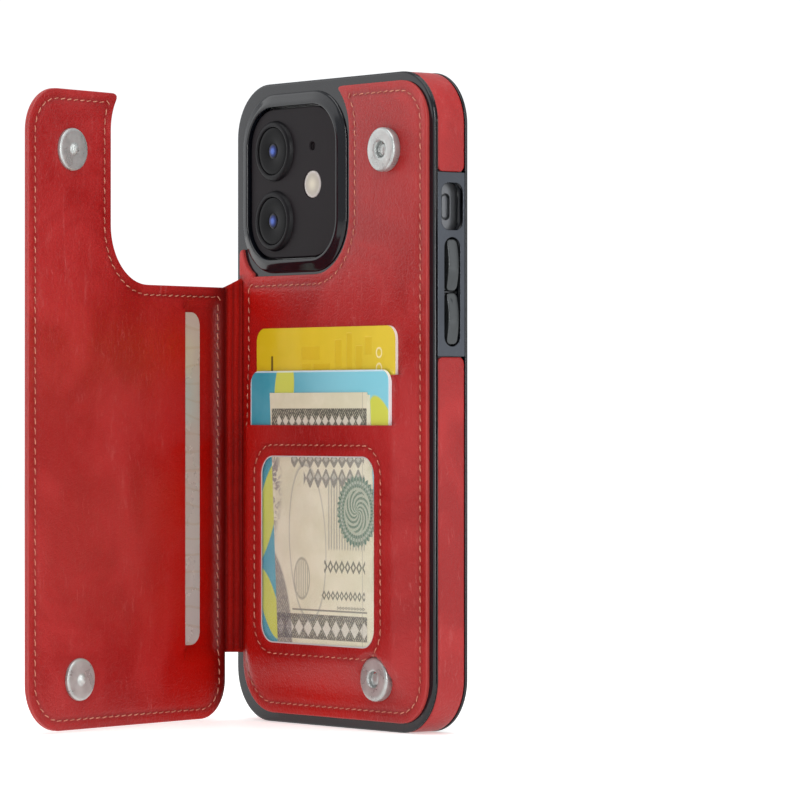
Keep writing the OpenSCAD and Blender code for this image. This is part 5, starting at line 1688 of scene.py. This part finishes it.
    # a thin arched frame, shaded patches at the left, and rows of small marks
    frameOval, reach = inOval(tree, where, (low.x + 0.0150, low.z + 0.0250), (0.0072, 0.0185), -4)
    color = layer(color, both(frameOval, mapRange(tree, reach, 0.955, 0.975)), (0.2, 0.22, 0.2), 0.6)
    patch, _ = inOval(tree, where, (low.x - 0.001, low.z + 0.006), (0.0095, 0.0195), -10)
    color = layer(color, both(patch, ground), (0.12, 0.12, 0.13), 0.8)
    curl = addNode(tree, "ShaderNodeTexNoise", {"Scale": 330.0, "Detail": 5.0, "Distortion": 2.2})
    wire(tree, where, curl.inputs["Vector"])
    side, _ = inOval(tree, where, (low.x - 0.0005, low.z + 0.0380), (0.0046, 0.0125), 0, 0.3)
    color = layer(color, both(side, mapRange(tree, curl.outputs["Fac"], 0.44, 0.56)), (0.16, 0.15, 0.17),
                  0.75)
    crest, reach = inOval(tree, where, (low.x + 0.0128, low.z + 0.0165), (0.0032, 0.0050), 0)
    color = layer(color, both(crest, mathNode(tree, "MAXIMUM", lines(420.0, 0),
                                              mapRange(tree, reach, 0.85, 0.9))), (0.22, 0.24, 0.18), 0.6)
    for at, x0, tall, period in ((low.z + 0.0195, 0.0215, 0.0016, 0.0022),
                                 (low.z + 0.0128, 0.0205, 0.0012, 0.0017),
                                 (low.z + 0.0100, 0.0265, 0.0004, 0.0011)):
        box = inBox(tree, x, z, low.x + x0, high.x - 0.0008, at - tall, at + tall)
        color = layer(color, both(box, mathNode(tree, "SUBTRACT", beads(at, tall, period, 1.0),
                                                beads(at, tall, period, 0.45))), (0.10, 0.12, 0.09), 0.85)
    # a darker line near the right edge where the paper is folded: wear along the fold and painted shade of
    # its dip
    crease = inBand(tree, x, high.x - 0.0019, high.x - 0.0017, 0.00006)
    color = layer(color, crease, (0.35, 0.36, 0.28), 0.7)
    wire(tree, color, shader.inputs["Base Color"])
    bumpInto(tree, shader, g.outputs["Fine"], 0.3, 0.00003)
    return m


def silverCard():
    m, tree, shader, where = newMaterial("silverCard",
                                         {"Metallic": 0.25, "Coat Weight": 0.5, "Coat Roughness": 0.1})
    g = placeGroup(tree, smudge, where, {"Patch Scale": 30.0})
    z = splitPlace(tree, where)[1]
    low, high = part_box("flap_card")
    color = mixColor(tree, mapRange(tree, z, low.z, high.z), (0.58, 0.62, 0.60), (0.57, 0.57, 0.48))
    color = mixColor(tree, mathNode(tree, "MULTIPLY", g.outputs["Mask"], 0.3), color, (0.70, 0.69, 0.65))
    wave = addNode(tree, "ShaderNodeTexWave",
                   {"Scale": 75.0, "Distortion": 6.0, "Detail": 2.0, "Detail Scale": 0.6},
                   wave_type="BANDS", bands_direction="Z")
    wire(tree, where, wave.inputs["Vector"])
    gold = mapRange(tree, wave.outputs["Fac"], 0.93, 0.98)
    color = mixColor(tree, mathNode(tree, "MULTIPLY", gold, 0.3), color, (0.50, 0.42, 0.26))
    wire(tree, color, shader.inputs["Base Color"])
    wire(tree, mapRange(tree, g.outputs["Mask"], 0, 1, 0.24, 0.34), shader.inputs["Roughness"])
    return m


def clearFilm():
    m, tree, shader, where = newMaterial("clearFilm",
                                         {"IOR": 1.45, "Roughness": 0.06, "Transmission Weight": 0.0,
                                          "Specular IOR Level": 0.6})
    shader.inputs["Base Color"].default_value = (0.9, 0.93, 0.95, 1)
    g = placeGroup(tree, smudge, where, {"Patch Scale": 40.0})
    wire(tree, mapRange(tree, g.outputs["Mask"], 0, 1, 0.02, 0.05), shader.inputs["Alpha"])
    return m


def screenGlass():
    # a dark display inside a black border, with a small speaker slit at the top
    m, tree, shader, where = newMaterial("screenGlass", {"Specular IOR Level": 0.3, "IOR": 1.5})
    g = placeGroup(tree, smudge, where, {"Patch Scale": 35.0})
    x, z = splitPlace(tree, where)
    low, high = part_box("phone_screen")
    middle, border = (low.x + high.x) / 2, 0.0032
    display = inBox(tree, x, z, low.x + border, high.x - border, low.z + border, high.z - border)
    slit = inBox(tree, x, z, middle - 0.0055, middle + 0.0055, high.z - 0.0021, high.z - 0.0012)
    color = mixColor(tree, display, (0.0015, 0.0015, 0.002), (0.006, 0.0065, 0.009))
    wire(tree, mixColor(tree, slit, color, (0.03, 0.03, 0.032)), shader.inputs["Base Color"])
    smooth = mapRange(tree, g.outputs["Mask"], 0, 1, 0.04, 0.10)
    wire(tree, mathNode(tree, "MAXIMUM", smooth, mathNode(tree, "MULTIPLY", slit, 0.5)),
         shader.inputs["Roughness"])
    return m


for node, material in (("phone_screen", screenGlass()), ("yellow_card", yellowCard()),
                       ("blue_card", blueCard()), ("flap_card", silverCard()), ("window_film", clearFilm())):
    obj = frame["nodes"][node]
    obj.data.materials.clear()
    obj.data.materials.append(material)

# The folded note leans a little, and its back layer shows beside the front one
note = {"lean": 0.055, "peek": 0.8, "drop": 0.6, "lift": 1.3}
noteLow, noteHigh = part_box("banknote")
bm = bmesh.new()
thin = (noteHigh.y - noteLow.y) / 2
for shift, y in ((0.0, noteLow.y), (note["peek"] * mm, noteLow.y + thin)):
    made = bmesh.ops.create_cube(bm, size=1.0)["verts"]
    bottom = noteLow.z + note["lift"] * mm
    height = noteHigh.z - (note["drop"] * mm if shift else 0) - bottom
    for v in made:
        v.co = (noteLow.x + (v.co.x + 0.5) * (noteHigh.x - noteLow.x) + shift,
                y + (v.co.y + 0.5) * thin * 0.96,
                bottom + (v.co.z + 0.5) * height)
for v in bm.verts:
    v.co.x += (noteHigh.z - v.co.z) * note["lean"]
folded = meshObject("foldedNote", bm, smooth=False)
finishPiece(folded, "folded_note", paperNote(), "banknote", "banknote")

# A pale ring just inside the window's leather: a painted highlight on the film's edge
bm = bmesh.new()
rings = [windowHole + inwards(windowHole) * d for d in (-0.02, 0.14, 0.3)]
rings = [[bm.verts.new((x * mm, backY - (filmDepth + up) * mm, z * mm)) for x, z in ring] for ring,
         up in zip(rings, (0.03, 0.1, 0.01))]
for a, b in zip(rings[:-1], rings[1:]):
    for i in range(len(a)):
        j = (i + 1) % len(a)
        bm.faces.new((a[i], a[j], b[j], b[i]))
bmesh.ops.recalc_face_normals(bm, faces=bm.faces)
filmBorder = meshObject("filmBorder", bm)
faceOut(filmBorder, (0, -1, 0))
finishPiece(filmBorder, "case", makePlain("filmWeld", (0.72, 0.74, 0.75), 0.2), "clear_film")
print("cards made")

# Stage and light
studio = {"floor": (0.9, 0.9, 0.89), "glow": 0.45, "world": (0.97, 0.985, 1.0), "worldPower": 0.62,
          "floorRadius": 5.0}


def floorDisc():
    # a wide flat floor, so that nothing stands between the object and a camera on any side
    bm = bmesh.new()
    bmesh.ops.create_circle(bm, cap_ends=True, segments=96, radius=studio["floorRadius"])
    bmesh.ops.translate(bm, verts=bm.verts, vec=(0, 0, -0.00002))
    obj = meshObject("floor", bm)
    m, tree, shader, where = newMaterial("paleFloor", {"Roughness": 0.55, "Specular IOR Level": 0.25})
    n = addNode(tree, "ShaderNodeTexNoise", {"Scale": 3.0})
    wire(tree, where, n.inputs["Vector"])
    wire(tree, mixColor(tree, n.outputs["Fac"], studio["floor"], tuple(c * 1.01 for c in studio["floor"])),
         shader.inputs["Base Color"])
    shader.inputs["Emission Color"].default_value = (1, 1, 0.99, 1)
    shader.inputs["Emission Strength"].default_value = studio["glow"]
    obj.data.materials.append(m)


floorDisc()
world = bpy.data.worlds.new("world")
bpy.context.scene.world = world
world.use_nodes = True
world.node_tree.nodes["Background"].inputs["Color"].default_value = (*studio["world"], 1)
seen = addNode(world.node_tree, "ShaderNodeLightPath").outputs["Is Camera Ray"]
power = mapRange(world.node_tree, seen, 0, 1, studio["worldPower"], 1.1, smooth=False)
wire(world.node_tree, power, world.node_tree.nodes["Background"].inputs["Strength"])


def softLight(name, place, aim, size, power, color=(1, 1, 1)):
    data = bpy.data.lights.new(name, "AREA")
    data.shape, data.size, data.size_y, data.energy, data.color = "RECTANGLE", size[0], size[1], power, color
    obj = bpy.data.objects.new(name, data)
    bpy.context.collection.objects.link(obj)
    obj.location = place
    obj.rotation_mode = "QUATERNION"
    obj.rotation_quaternion = (Vector(aim) - Vector(place)).to_track_quat("-Z", "Y")
    return obj


centre = (cadLow + cadHigh) / 2
ahead = Vector((-math.sin(az), math.cos(az), 0))
across = Vector((math.cos(az), math.sin(az), 0))
left = (-across * 0.25 + Vector((-0.79, -0.61, 0)))
softLight("leftBox", centre + left * 1.1 + Vector((0, 0, 0.3)), centre, (1.4, 1.4), 6.5)
softLight("rightBox", centre + Vector((0.86, 0.5, 0)) * 1.1 + Vector((0, 0, 0.35)), centre, (0.7, 0.9), 2.5)
softLight("topBox", centre + Vector((0, 0, 0.9)) - ahead * 0.2, centre, (0.9, 0.9), 6.0)
edgeStrip = softLight("edgeStrip", centre - ahead * 1.0 + across * 0.16 + Vector((0, 0, 0.05)), centre,
                      (0.16, 1.2), 9.0)
edgeStrip.visible_diffuse = False     # it only draws highlights along the rounded edges
bpy.context.scene.view_settings.view_transform = "Standard"

print("stage made")
